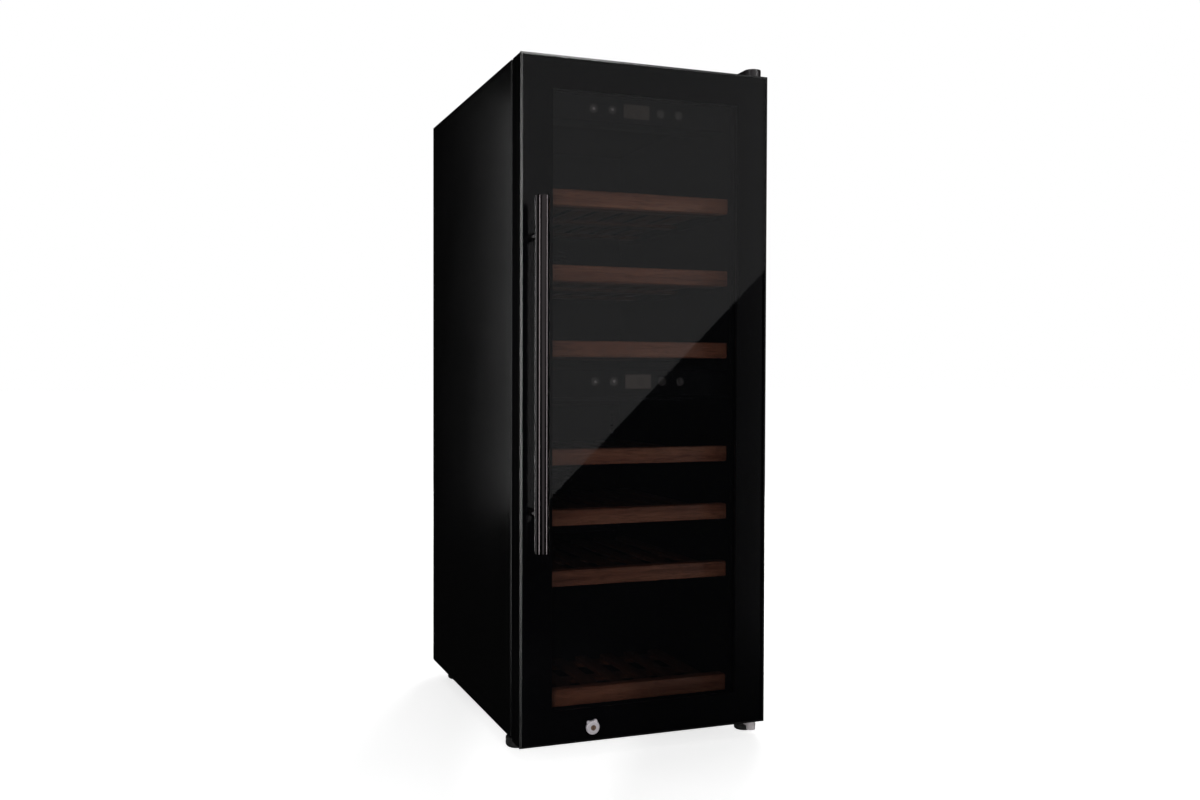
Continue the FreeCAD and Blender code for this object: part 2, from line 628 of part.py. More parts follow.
def compressor_mounts():
    """Four rubber grommets between the base and the compressor's plate."""
    low = CABINET_LIFT + SHEET
    mounts = []
    for dx in (-MOUNT_SPACING_X / 2, MOUNT_SPACING_X / 2):
        for dy in (-MOUNT_SPACING_Y / 2, MOUNT_SPACING_Y / 2):
            centre = (COMPRESSOR_X + dx, COMPRESSOR_Y + dy, low)
            mount = rod(10.0, PLATE_LOW - low, centre, Z_AXIS)
            waist = ring(14.0, 8.0, 5.0, (centre[0], centre[1], low + 7.0), Z_AXIS)
            mounts.append(mount.cut(waist))
    return mounts


def terminal_box():
    """The relay's cover on the side of the can."""
    x = COMPRESSOR_X + COMPRESSOR_RADIUS + 3.5
    cover = block(x, x + 26.0, COMPRESSOR_Y - 30.0, COMPRESSOR_Y + 30.0, PLATE_LOW + 20.0, PLATE_LOW + 92.0)
    return cover.makeFillet(4.0, cover.Edges)


def condenser():
    """Aluminium fins on straight copper tubes between two end plates."""
    half = CONDENSER_SIZE / 2
    low, high = CONDENSER_Z, CONDENSER_Z + CONDENSER_SIZE
    y_low, y_high = CONDENSER_Y, CONDENSER_Y + CONDENSER_DEPTH
    pieces = []
    fin_pitch = CONDENSER_SIZE / (FIN_COUNT - 1)
    for i in range(FIN_COUNT):
        x = CONDENSER_X - half + i * fin_pitch
        thickness = 2 * FIN_THICKNESS if i in (0, FIN_COUNT - 1) else FIN_THICKNESS
        pieces.append(block(x - thickness / 2, x + thickness / 2, y_low, y_high, low, high))
    for row in range(4):
        for column in range(2):
            centre = (CONDENSER_X - half - 6.0, y_low + 12.0 + column * 20.0, low + 14.0 + row * 25.0)
            pieces.append(rod(3.5, CONDENSER_SIZE + 12.0, centre, X_AXIS))
    return join(pieces)


def refrigerant_pipes():
    """Discharge and suction pipes, and the filter drier upright between them."""
    top = PLATE_LOW + 117.0
    x, y = COMPRESSOR_X, COMPRESSOR_Y
    across = top + 14.0
    condenser_front = BAY_FRONT + 12.0
    bay_wall = BAY_FRONT + 20.0
    discharge = pipe([
        (x + 20, y - 20, top), (x + 20, y - 20, across), (x + 96, y - 20, across),
        (x + 96, condenser_front, across), (x + 96, condenser_front, CONDENSER_Z + 20.0),
    ], 3.0, 7.0)
    suction = pipe([
        (x - 20, y - 20, top), (x - 20, y - 20, across), (x - 20, bay_wall, across),
        (x - 20, bay_wall, PLATE_LOW + 20.0),
    ], 4.0, 8.0)
    drier_low = CABINET_LIFT + SHEET + 20.0
    drier_centre = (CONDENSER_X - 84.0, BAY_FRONT + 14.0)
    body = rod(9.0, 80.0, (*drier_centre, drier_low), Z_AXIS)
    body = body.makeFillet(6.0, level_circles(body, drier_low) + level_circles(body, drier_low + 80.0))
    neck = rod(2.5, 100.0, (*drier_centre, drier_low - 10.0), Z_AXIS)
    return [discharge, suction, join([body, neck])]


def drip_tray():
    """The open tray over the compressor that boils off the condensate."""
    low = PLATE_LOW + 136.0
    x_low, x_high = COMPRESSOR_X - 72.0, COMPRESSOR_X + 72.0
    y_low, y_high = COMPRESSOR_Y - 52.0, COMPRESSOR_Y + 52.0
    tray = block(x_low, x_high, y_low, y_high, low, BAY_TOP - 2.0)
    tray = tray.makeFillet(8.0, edges_along(tray, Z_AXIS))
    room = block(x_low + 2, x_high - 2, y_low + 2, y_high - 2, low + 2, BAY_TOP)
    return tray.cut(room.makeFillet(6.0, edges_along(room, Z_AXIS)))


COVER_RECESS = 4.0
LOUVRE_CENTRES = (-60.0, 60.0)
LOUVRE_HALF = 42.0
LOUVRE_HEIGHT = 5.0
LOUVRE_LOWEST = 92.0
LOUVRE_PITCH = 12.0
LOUVRE_ROWS = 8
INLET_X = -118.0
INLET_Z = 60.0
INLET_HALF_WIDTH = 13.9
INLET_HALF_HEIGHT = 10.4


def rear_cover():
    """The louvred sheet over the compressor bay, with the opening for the mains inlet."""
    y_back = CABINET_BACK - COVER_RECESS
    sheet = block(-SKIN_HALF + 0.5, SKIN_HALF - 0.5, y_back - SHEET, y_back, CABINET_LIFT + SHEET, BAY_TOP)
    for centre in LOUVRE_CENTRES:
        for row in range(LOUVRE_ROWS):
            z = LOUVRE_LOWEST + row * LOUVRE_PITCH
            slot = block(centre - LOUVRE_HALF, centre + LOUVRE_HALF, y_back - 3, y_back + 1,
                         z - LOUVRE_HEIGHT / 2, z + LOUVRE_HEIGHT / 2)
            sheet = sheet.cut(slot.makeFillet(LOUVRE_HEIGHT / 2 - 0.1, edges_along(slot, Y_AXIS)))
    half_x, half_z = INLET_HALF_WIDTH + 0.1, INLET_HALF_HEIGHT + 0.1
    inlet = block(INLET_X - half_x, INLET_X + half_x, y_back - 3, y_back + 1,
                  INLET_Z - half_z, INLET_Z + half_z)
    return sheet.cut(inlet)


def mains_inlet():
    """A flanged three-pin appliance inlet."""
    y_back = CABINET_BACK - COVER_RECESS
    flange = block(INLET_X - 24, INLET_X + 24, y_back, y_back + 2.5, INLET_Z - 14, INLET_Z + 14)
    flange = flange.makeFillet(5.0, edges_along(flange, Y_AXIS))
    body = block(INLET_X - INLET_HALF_WIDTH, INLET_X + INLET_HALF_WIDTH, y_back - 22, y_back,
                 INLET_Z - INLET_HALF_HEIGHT, INLET_Z + INLET_HALF_HEIGHT)
    recess = block(INLET_X - 12, INLET_X + 12, y_back - 16, y_back + 3, INLET_Z - 8, INLET_Z + 8)
    recess = recess.makeChamfer(4.0, edges_along(recess, Y_AXIS, lambda m: m.z > INLET_Z))
    shell = join([flange, body]).cut(recess)
    pins = []
    for dx, dz in ((-7, -2), (0, 2), (7, -2)):
        x, z = INLET_X + dx, INLET_Z + dz
        pins.append(block(x - 1, x + 1, y_back - 17, y_back - 4, z - 2, z + 2))
    return join([shell, *pins])


def rear_screws():
    """Pan-head screws that hold the rear sheet and the bay's cover."""
    screws = []
    for x in (-(HALF - 12.0), HALF - 12.0):
        for z in REAR_SCREW_HEIGHTS:
            screws.append(rod(SCREW_HEAD_RADIUS, SCREW_HEAD, (x, CABINET_BACK, z), Y_AXIS))
    y_back = CABINET_BACK - COVER_RECESS
    for x in (-SKIN_HALF + 10.0, SKIN_HALF - 10.0):
        for z in (CABINET_LIFT + 14.0, BAY_TOP - 12.0):
            screws.append(rod(SCREW_HEAD_RADIUS, SCREW_HEAD, (x, y_back, z), Y_AXIS))
    return screws


LED_HALF_LENGTH = 120.0
LED_DEPTH = 14.0
LED_HEIGHT = 4.5


def led_strips():
    """A light bar in the ceiling of each zone, behind its control panel's line."""
    strips = []
    upper_front = CABINET_FRONT + UPPER_PANEL_SET_BACK + PANEL_DEPTH + 4.0
    lower_front = CABINET_FRONT + 50.0
    for y, ceiling in ((upper_front, CAVITY_CEILING), (lower_front, DIVIDER_BOTTOM)):
        strip = block(-LED_HALF_LENGTH, LED_HALF_LENGTH, y, y + LED_DEPTH, ceiling - LED_HEIGHT, ceiling)
        strips.append(strip.makeFillet(2.0, edges_along(strip, X_AXIS, lambda m, top=ceiling: m.z < top - 1)))
    return strips


# ---------------------------------------------------------------- hinges
BRACKET = 3.0                    # bracket steel
TOP_PLATE_LOW = DOOR_TOP + 2.0
BOTTOM_PLATE_TOP = DOOR_LIFT - 6.0
BRACKET_NOSE = 7.5
BRACKET_LENGTH = 54.0
BRACKET_WIDTH = 46.0             # inner edge from the cabinet's side
BRACKET_SET_BACK = 4.0           # plate's front behind the cabinet's front
HINGE_SCREW_RADIUS = 4.2         # across the hexagon's corners, halved
HINGE_SCREW_HEAD = 2.4
HINGE_COVER_TOP = 1023.3
HINGE_COVER_WALL = 1.6
HINGE_COVER_LENGTH = 58.0
HINGE_COVER_FALL = 3.0           # how far its top falls to its inner and rear edges
COVER_NOSE_RADIUS = 13.0
COVER_NOSE_X = PIN_X - 3.5       # nose's centre, a little inboard of the pin
PIN_DEPTH = 20.0                 # pins' ends inside the door's edges


BRACKET_START = CABINET_FRONT + BRACKET_SET_BACK
BRACKET_INNER = HALF - BRACKET_WIDTH


def bracket_plate(z_low):
    """A plate that runs from the pin, rounded about it, back over the cabinet's corner."""
    top = z_low + BRACKET
    plate = block(BRACKET_INNER, HALF - 2.0, BRACKET_START, BRACKET_START + BRACKET_LENGTH, z_low, top)
    arm = block(PIN_X - BRACKET_NOSE, PIN_X + BRACKET_NOSE, PIN_Y, BRACKET_START + 1.0, z_low, top)
    nose = rod(BRACKET_NOSE, BRACKET, (PIN_X, PIN_Y, z_low), Z_AXIS)
    return join([plate, arm, nose])


def bracket_pad(z_low, z_high):
    """The packing between a bracket's plate and the cabinet."""
    return block(BRACKET_INNER, HALF - 2.0, BRACKET_START, BRACKET_START + BRACKET_LENGTH, z_low, z_high)


def hinge_screw_places():
    return [(HALF - 36.0, BRACKET_START + 16.0), (HALF - 14.0, BRACKET_START + 16.0),
            (HALF - 25.0, BRACKET_START + 40.0)]


def hinge_bracket_top():
    """Steel bracket on the cabinet's lid with the pin that hangs into the door."""
    pin_low = DOOR_TOP - PIN_DEPTH
    pin = rod(PIN_DIAMETER / 2, TOP_PLATE_LOW + 2.0 - pin_low, (PIN_X, PIN_Y, pin_low), Z_AXIS)
    return join([bracket_plate(TOP_PLATE_LOW), bracket_pad(CABINET_TOP, TOP_PLATE_LOW), pin])


def hinge_cover():
    """Moulded cap over the top bracket: round about the pin, its top falling a little behind and inboard."""
    top, fall, wall = HINGE_COVER_TOP, HINGE_COVER_FALL, HINGE_COVER_WALL
    low = DOOR_TOP + 0.8
    y_end = BRACKET_START + HINGE_COVER_LENGTH
    inner_edge = BRACKET_INNER - wall - 0.4
    nose_left, nose_right = COVER_NOSE_X - COVER_NOSE_RADIUS, COVER_NOSE_X + COVER_NOSE_RADIUS
    nose = rod(COVER_NOSE_RADIUS, top - low, (COVER_NOSE_X, PIN_Y, low), Z_AXIS)
    arm = block(nose_left, nose_right, PIN_Y, BRACKET_START, low, top)
    main = block(inner_edge, HALF, CABINET_FRONT + 0.2, y_end, CABINET_TOP, top)
    outer = join([nose, arm, main])
    over = top + 10.0
    side = [(inner_edge - 1.0, top - fall), (nose_left, top), (nose_left, over), (inner_edge - 1.0, over)]
    outer = outer.cut(prism([(x, PIN_Y - 40.0, z) for x, z in side], Vector(0, 200.0, 0)))
    tail = [(y_end - 30.0, top), (y_end + 1.0, top - fall), (y_end + 1.0, over), (y_end - 30.0, over)]
    outer = outer.cut(prism([(inner_edge - 10.0, y, z) for y, z in tail], Vector(BRACKET_WIDTH + 30.0, 0, 0)))
    plate_room = TOP_PLATE_LOW + BRACKET + HINGE_SCREW_HEAD + 0.2
    room = join([
        rod(COVER_NOSE_RADIUS - wall, plate_room - low + 1, (COVER_NOSE_X, PIN_Y, low - 1), Z_AXIS),
        block(nose_left + wall, nose_right - wall, PIN_Y, BRACKET_START + 2.0, low - 1, plate_room),
        block(inner_edge + wall, HALF - wall, BRACKET_START - 0.2, y_end - wall, CABINET_TOP - 1, plate_room),
    ])
    return outer.cut(room)


def hinge_bracket_bottom():
    """Steel bracket under the base with the door's lower pin and the boss for the front foot."""
    plate_low = BOTTOM_PLATE_TOP - BRACKET
    plate = bracket_plate(plate_low)
    pad = bracket_pad(BOTTOM_PLATE_TOP, CABINET_LIFT)
    pin = rod(PIN_DIAMETER / 2, DOOR_LIFT + PIN_DEPTH - plate_low, (PIN_X, PIN_Y, plate_low), Z_AXIS)
    shoulder = rod(7.0, FRAME_LOW - BOTTOM_PLATE_TOP, (PIN_X, PIN_Y, BOTTOM_PLATE_TOP), Z_AXIS)
    nut = rod(7.0, 6.0, (PIN_X, PIN_Y, plate_low - 6.0), Z_AXIS)
    foot_x, foot_y = foot_places()["front_right"]
    boss_low = SMALL_FOOT_HEIGHT + FOOT_NUT_GAP
    boss = rod(FOOT_NUT_RADIUS, plate_low - boss_low, (foot_x, foot_y, boss_low), Z_AXIS)
    return join([plate, pad, pin, shoulder, nut, boss]).cut(foot_bore(foot_x, foot_y))


def hinge_screws():
    """Hexagon-headed screws through both brackets, heads outwards."""
    screws = []
    radius = HINGE_SCREW_RADIUS
    for x, y in hinge_screw_places():
        for z, axis in ((TOP_PLATE_LOW + BRACKET, 1), (BOTTOM_PLATE_TOP - BRACKET, -1)):
            turns = [k * math.pi / 3 for k in range(6)]
            corners = [(x + radius * math.cos(turn), y + radius * math.sin(turn), z) for turn in turns]
            screws.append(prism(corners, Vector(0, 0, HINGE_SCREW_HEAD * axis)))
    return screws


# ---------------------------------------------------------------- door
def lock_hole(radius, y_low, y_high):
    return rod(radius, y_high - y_low, (LOCK_X, y_low, LOCK_HEIGHT), Y_AXIS)


def handle_post_heights():
    return (HANDLE_BOTTOM + HANDLE_POST_INSET, HANDLE_BOTTOM + HANDLE_LENGTH - HANDLE_POST_INSET)


def door_glass():
    """The full-height outer pane with a bevelled front edge, drilled for the handle and the lock."""
    pane = block(-HALF, HALF, GLASS_FRONT, GLASS_FRONT + GLASS, DOOR_LIFT, DOOR_TOP)
    shoulder = GLASS_FRONT + GLASS_BEVEL_DEPTH
    for x, inward in ((-HALF, 1), (HALF, -1)):
        wedge = [(x, GLASS_FRONT, DOOR_LIFT), (x + inward * GLASS_BEVEL_WIDTH, GLASS_FRONT, DOOR_LIFT),
                 (x, shoulder, DOOR_LIFT)]
        pane = pane.cut(prism(wedge, Vector(0, 0, DOOR_TOP - DOOR_LIFT)))
    for z, inward in ((DOOR_LIFT, 1), (DOOR_TOP, -1)):
        wedge = [(-HALF, GLASS_FRONT, z), (-HALF, GLASS_FRONT, z + inward * GLASS_BEVEL_WIDTH),
                 (-HALF, shoulder, z)]
        pane = pane.cut(prism(wedge, Vector(2 * HALF, 0, 0)))
    pane = pane.cut(lock_hole(LOCK_BARREL_RADIUS + LOCK_GAP, GLASS_FRONT - 1, GLASS_FRONT + GLASS + 1))
    for z in handle_post_heights():
        hole = rod(HANDLE_STUD_RADIUS + PIN_CLEARANCE, GLASS + 2, (HANDLE_X, GLASS_FRONT - 1, z), Y_AXIS)
        pane = pane.cut(hole)
    return pane


def inner_pane():
    """The pane on the cold side."""
    half = FRAME_INNER - 1.0
    return block(-half, half, GLASS_FRONT + PANE_FRONT, GLASS_FRONT + PANE_FRONT + GLASS,
                 OPENING_LOW + 1.0, OPENING_HIGH - 1.0)


def perimeter(half_outer, half_inner, z_outer, z_inner, y_low, y_high):
    """Four butted bars round the door: two full-height stiles and two rails between them."""
    (low_outer, high_outer), (low_inner, high_inner) = z_outer, z_inner
    return [
        block(-half_outer, -half_inner, y_low, y_high, low_outer, high_outer),
        block(half_inner, half_outer, y_low, y_high, low_outer, high_outer),
        block(-half_inner, half_inner, y_low, y_high, low_outer, low_inner),
        block(-half_inner, half_inner, y_low, y_high, high_inner, high_outer),
    ]


def glass_spacer():
    """The sealed aluminium spacer between the panes."""
    outer = FRAME_INNER - 1.0
    inner = outer - SPACER_WIDTH
    low, high = OPENING_LOW + 1.0, OPENING_HIGH - 1.0
    return perimeter(outer, inner, (low, high), (low + SPACER_WIDTH, high - SPACER_WIDTH),
                     GLASS_FRONT + GLASS, GLASS_FRONT + PANE_FRONT)


def door_frame():
    """The black extrusions behind the glass, bored for the hinge pins and the lock."""
    bars = perimeter(FRAME_OUTER, FRAME_INNER, (FRAME_LOW, FRAME_HIGH), (OPENING_LOW, OPENING_HIGH),
                     GLASS_FRONT + GLASS, GLASS_FRONT + FRAME_BACK)
    left, right, lower, upper = bars
    back = GLASS_FRONT + FRAME_BACK
    outer_back = edges_along(right, Z_AXIS, lambda m: m.x > FRAME_OUTER - 1 and m.y > back - 1)
    right = right.makeChamfer(STILE_CHAMFER, outer_back)
    pin_bore, bore_depth = PIN_DIAMETER / 2 + PIN_CLEARANCE, PIN_DEPTH + 1.0
    right = right.cut(rod(pin_bore, bore_depth, (PIN_X, PIN_Y, FRAME_LOW - 0.5), Z_AXIS))
    right = right.cut(rod(pin_bore, bore_depth, (PIN_X, PIN_Y, DOOR_TOP - PIN_DEPTH - 0.5), Z_AXIS))
    for z in handle_post_heights():
        hole = rod(HANDLE_STUD_RADIUS + PIN_CLEARANCE, HANDLE_STUD_LENGTH + 1.0,
                   (HANDLE_X, GLASS_FRONT + GLASS - 1, z), Y_AXIS)
        left = left.cut(hole)
    lower = lower.cut(lock_hole(LOCK_BARREL_RADIUS + LOCK_GAP, GLASS_FRONT, GLASS_FRONT + FRAME_BACK + 1))
    return [left, right, lower, upper]


def door_gasket():
    """The magnetic seal on the frame's back, just clear of the cabinet's flange."""
    outer = FRAME_INNER + 2.5 + GASKET_WIDTH
    inner = outer - GASKET_WIDTH
    low, high = OPENING_LOW - GASKET_WIDTH + 0.5, OPENING_HIGH + GASKET_WIDTH + 1.5
    return perimeter(outer, inner, (low, high), (low + GASKET_WIDTH - 1.0, high - GASKET_WIDTH),
                     GLASS_FRONT + FRAME_BACK, GLASS_FRONT + GASKET_BACK)


HANDLE_SEAT = 6.0                # post's end behind the bar's axis


def handle_bar():
    """A round bar with softened ends."""
    bar = rod(HANDLE_DIAMETER / 2, HANDLE_LENGTH, (HANDLE_X, HANDLE_Y, HANDLE_BOTTOM), Z_AXIS)
    ends = level_circles(bar, HANDLE_BOTTOM) + level_circles(bar, HANDLE_BOTTOM + HANDLE_LENGTH)
    bar = bar.makeFillet(1.5, ends)
    post = HANDLE_POST_DIAMETER / 2
    for z in handle_post_heights():
        bar = bar.cut(rod(post, HANDLE_STAND_OFF, (HANDLE_X, HANDLE_Y + HANDLE_SEAT, z), Y_AXIS))
    return bar


def handle_posts():
    """Two stand-offs seated in the bar, each with the stud that clamps it through the glass."""
    posts = []
    for z in handle_post_heights():
        start = HANDLE_Y + HANDLE_SEAT
        post = rod(HANDLE_POST_DIAMETER / 2, GLASS_FRONT - start, (HANDLE_X, start, z), Y_AXIS)
        stud = rod(HANDLE_STUD_RADIUS, HANDLE_STUD_LENGTH, (HANDLE_X, GLASS_FRONT - 1, z), Y_AXIS)
        posts.append(join([post, stud]))
    return posts


LOBE_REACH = 9.8                 # lobes' centres from the lock's axis
LOBE_RADIUS = 2.8


def lock_barrel():
    """The fixed lock body: a chromed collar with two lobes, and the barrel through the door."""
    face = GLASS_FRONT - LOCK_COLLAR_PROUD
    collar = rod(LOCK_COLLAR_RADIUS, LOCK_COLLAR_PROUD, (LOCK_X, face, LOCK_HEIGHT), Y_AXIS)
    front = [e for e in collar.Edges if e.Curve.TypeId == "Part::GeomCircle" and e.CenterOfMass.y < face + 1]
    collar = collar.makeFillet(2.2, front)
    lobes = []
    for angle in (130.0, 67.0):
        x = LOCK_X + LOBE_REACH * math.cos(math.radians(angle))
        z = LOCK_HEIGHT + LOBE_REACH * math.sin(math.radians(angle))
        lobes.append(rod(LOBE_RADIUS, 2.6, (x, face + 1.4, z), Y_AXIS))
    barrel = lock_hole(LOCK_BARREL_RADIUS, GLASS_FRONT - 1, GLASS_FRONT + FRAME_BACK)
    whole = join([collar, *lobes, barrel])
    return whole.cut(lock_hole(LOCK_CORE_RADIUS + LOCK_GAP, face - 1, GLASS_FRONT + FRAME_BACK + 1))


def lock_core():
    """The turning key core with its keyway, and the cam that catches behind the cabinet's flange."""
    face = GLASS_FRONT - LOCK_COLLAR_PROUD - 0.4
    cam_start = CABINET_FRONT + 2.8
    cam_end = cam_start + LOCK_CAM_THICKNESS
    core = lock_hole(LOCK_CORE_RADIUS, face, cam_end)
    keyway = block(LOCK_X - 0.6, LOCK_X + 0.6, face - 1, face + 8.0, LOCK_HEIGHT - 2.8, LOCK_HEIGHT + 2.8)
    boss = lock_hole(LOCK_CAM_HALF, cam_start, cam_end)
    cam = block(LOCK_X - LOCK_CAM_REACH, LOCK_X, cam_start, cam_end,
                LOCK_HEIGHT - LOCK_CAM_HALF, LOCK_HEIGHT + LOCK_CAM_HALF)
    return join([core.cut(keyway), boss, cam])


# ---------------------------------------------------------------- the whole cooler
def save_cabinet():
    save("side_panel_left", side_panel(-1))
    save("side_panel_right", side_panel(1))
    save("top_panel", top_panel())
    save("back_panel", back_panel())
    save("base_pan", base_pan())
    save("insulation_foam", insulation())
    upper = liner(DIVIDER_TOP, CAVITY_CEILING, DIVIDER_BOTTOM + LINER, CABINET_TOP - RETURN, False)
    save("liner_upper", upper.cut(lower_panel_room()))
    save("liner_lower", liner(CAVITY_FLOOR, DIVIDER_BOTTOM, BASE_FLANGE_TOP, DIVIDER_BOTTOM + LINER, True))
    save("zone_divider", zone_divider())
    save("shelf_runners", shelf_runners())
    save("bottom_rack", wooden_rack(RACK_BOTTOM, RACK_HEIGHT, RACK_DEPTH))
    save("led_strips", led_strips())
    save("hinge_bracket_top", hinge_bracket_top())
    save("hinge_bracket_bottom", hinge_bracket_bottom())
    save("hinge_cover", hinge_cover())
    save("cabinet_screws", [*hinge_screws(), *rear_screws()])
    for name, (x, y) in foot_places().items():
        save("foot_" + name, foot(name, x, y))


def save_controls():
    upper_face = CABINET_FRONT + UPPER_PANEL_SET_BACK
    lower_face = CABINET_FRONT - LOWER_PANEL_PROUD
    save("control_housing_upper", control_housing(upper_face, UPPER_PANEL_HEIGHTS, UPPER_PANEL_CENTRE))
    save("control_housing_lower", control_housing(lower_face, LOWER_PANEL_HEIGHTS, LOWER_PANEL_CENTRE))
    save("display_boards", [display_board(upper_face, UPPER_PANEL_CENTRE),
                            display_board(lower_face, LOWER_PANEL_CENTRE)])
    panels = (("upper", upper_face, UPPER_PANEL_CENTRE), ("lower", lower_face, LOWER_PANEL_CENTRE))
    for zone, face, centre in panels:
        for name, x in button_places().items():
            save(f"{zone}_{name}_button", button(x, face, centre))


def save_cooling():
    fan_y = COVER_FRONT + 4.0
    centres = [sum(heights) / 2 for heights in (UPPER_COVER_HEIGHTS, LOWER_COVER_HEIGHTS)]
    save("evaporator_covers", [evaporator_cover(UPPER_COVER_HEIGHTS), evaporator_cover(LOWER_COVER_HEIGHTS)])
    save("evaporators", [evaporator(UPPER_COVER_HEIGHTS), evaporator(LOWER_COVER_HEIGHTS)])
    places = [(0, fan_y, centres[0]), (0, fan_y, centres[1]), (CONDENSER_X, CONDENSER_FAN_Y, CONDENSER_FAN_Z)]
    save("fan_frames", [fan_frame(*place) for place in places])
    for name, place in zip(("upper_fan_rotor", "lower_fan_rotor", "condenser_fan_rotor"), places):
        save(name, fan_rotor(*place))
    save("compressor", compressor())
    save("compressor_mounts", compressor_mounts())
    save("terminal_box", terminal_box())
    save("condenser", condenser())
    save("refrigerant_pipes", refrigerant_pipes())
    save("drip_tray", drip_tray())
    save("rear_cover", rear_cover())
    save("mains_inlet", mains_inlet())


def save_shelves():
    for number, z in enumerate(SHELF_HEIGHTS, start=1):
        save(f"shelf_{number}", wooden_rack(z, FASCIA_HEIGHT, SHELF_DEPTH))


def save_door():
    save("door_glass", door_glass())
    save("inner_pane", inner_pane())
    save("glass_spacer", glass_spacer())
    save("door_frame", door_frame())
    save("door_gasket", door_gasket())
    save("handle_bar", handle_bar())
    save("handle_posts", handle_posts())
    save("lock_barrel", lock_barrel())
    save("lock_core", lock_core())


save_cabinet()
save_controls()
save_cooling()
save_shelves()
save_door()
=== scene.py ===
import json
import math

import bmesh
import bpy
from mathutils import Matrix, Vector


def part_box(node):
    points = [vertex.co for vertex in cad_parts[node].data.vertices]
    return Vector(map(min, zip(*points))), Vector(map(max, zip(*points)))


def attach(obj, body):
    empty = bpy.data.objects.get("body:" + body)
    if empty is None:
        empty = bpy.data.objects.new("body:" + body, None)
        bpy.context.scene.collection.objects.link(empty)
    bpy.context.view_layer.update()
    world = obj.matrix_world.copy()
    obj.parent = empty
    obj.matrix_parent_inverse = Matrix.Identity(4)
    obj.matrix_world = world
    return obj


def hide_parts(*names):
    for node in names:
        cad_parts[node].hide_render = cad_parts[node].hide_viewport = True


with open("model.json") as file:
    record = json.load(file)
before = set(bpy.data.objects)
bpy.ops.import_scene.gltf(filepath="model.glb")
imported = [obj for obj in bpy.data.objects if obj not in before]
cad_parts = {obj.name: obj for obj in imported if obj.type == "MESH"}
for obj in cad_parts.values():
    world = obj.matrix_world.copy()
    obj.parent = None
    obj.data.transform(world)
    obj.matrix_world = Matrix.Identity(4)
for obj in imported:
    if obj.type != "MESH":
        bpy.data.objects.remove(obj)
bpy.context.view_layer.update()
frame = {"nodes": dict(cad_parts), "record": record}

# A tall dual-zone wine cooler. Metres, +Z up, -Y is the front and the door is hinged on +X.
SLOT_OF = {part["node"]: part["material_slot"] for part in frame["record"]["subparts"]}
MIDDLE_HEIGHT = 0.5              # between the upper hinge and the lower one


# ---------------------------------------------------------------- material kit
def new_material(name, colour, roughness, metallic=0.0, specular=0.5):
    """A material with one Principled shader. Returns it with its tree and shader."""
    material = bpy.data.materials.new(name)
    material.use_nodes = True
    tree = material.node_tree
    shader = tree.nodes["Principled BSDF"]
    shader.inputs["Base Color"].default_value = (*colour, 1)
    shader.inputs["Roughness"].default_value = roughness
    shader.inputs["Metallic"].default_value = metallic
    shader.inputs["Specular IOR Level"].default_value = specular
    return material, tree, shader


def coordinates(tree, scale=(1, 1, 1)):
    """Object coordinates, scaled per metre."""
    source = tree.nodes.new("ShaderNodeTexCoord")
    mapping = tree.nodes.new("ShaderNodeMapping")
    mapping.inputs["Scale"].default_value = scale
    tree.links.new(source.outputs["Object"], mapping.inputs["Vector"])
    return mapping.outputs["Vector"]


def noise(tree, vector, scale, detail, roughness=0.5, distortion=0.0):
    node = tree.nodes.new("ShaderNodeTexNoise")
    node.inputs["Scale"].default_value = scale
    node.inputs["Detail"].default_value = detail
    node.inputs["Roughness"].default_value = roughness
    node.inputs["Distortion"].default_value = distortion
    tree.links.new(vector, node.inputs["Vector"])
    return node.outputs["Fac"]


def ramp(tree, value, stops):
    """A colour ramp from (position, colour) stops."""
    node = tree.nodes.new("ShaderNodeValToRGB")
    elements = node.color_ramp.elements
    while len(elements) < len(stops):
        elements.new(0.5)
    for element, (position, colour) in zip(elements, stops):
        element.position = position
        element.color = (*colour, 1)
    tree.links.new(value, node.inputs["Fac"])
    return node.outputs["Color"]


def spread(tree, value, low, high):
    """The value's 0 to 1 mapped to low to high."""
    node = tree.nodes.new("ShaderNodeMapRange")
    node.inputs["To Min"].default_value = low
    node.inputs["To Max"].default_value = high
    tree.links.new(value, node.inputs["Value"])
    return node.outputs["Result"]


def bump(tree, shader, height, strength, distance):
    node = tree.nodes.new("ShaderNodeBump")
    node.inputs["Strength"].default_value = strength
    node.inputs["Distance"].default_value = distance
    tree.links.new(height, node.inputs["Height"])
    tree.links.new(node.outputs["Normal"], shader.inputs["Normal"])


def speckled(name, colour, roughness, grain, depth, variation=0.25, specular=0.5):
    """A surface with fine grain: moulded plastic, powder coat, rubber or cast metal."""
    material, tree, shader = new_material(name, colour, roughness, specular=specular)
    vector = coordinates(tree)
    fine = noise(tree, vector, grain, 2.0)
    broad = noise(tree, vector, 9.0, 4.0)
    darker = tuple(c * (1 - variation) for c in colour)
    lighter = tuple(c * (1 + variation) for c in colour)
    tree.links.new(ramp(tree, broad, [(0.3, darker), (0.7, lighter)]), shader.inputs["Base Color"])
    gloss = spread(tree, broad, roughness * 0.88, min(1.0, roughness * 1.12))
    tree.links.new(gloss, shader.inputs["Roughness"])
    bump(tree, shader, fine, 0.35, depth)
    return material


def brushed(name, colour, roughness, stretch, metallic=1.0, depth=0.00004):
    """Metal with fine parallel lines along the axis whose stretch is small."""
    material, tree, shader = new_material(name, colour, roughness, metallic=metallic)
    lines = noise(tree, coordinates(tree, stretch), 900.0, 2.0)
    darker = tuple(c * 0.8 for c in colour)
    tree.links.new(ramp(tree, lines, [(0.35, darker), (0.65, colour)]), shader.inputs["Base Color"])
    tree.links.new(spread(tree, lines, roughness * 0.8, roughness * 1.25), shader.inputs["Roughness"])
    bump(tree, shader, lines, 0.3, depth)
    return material


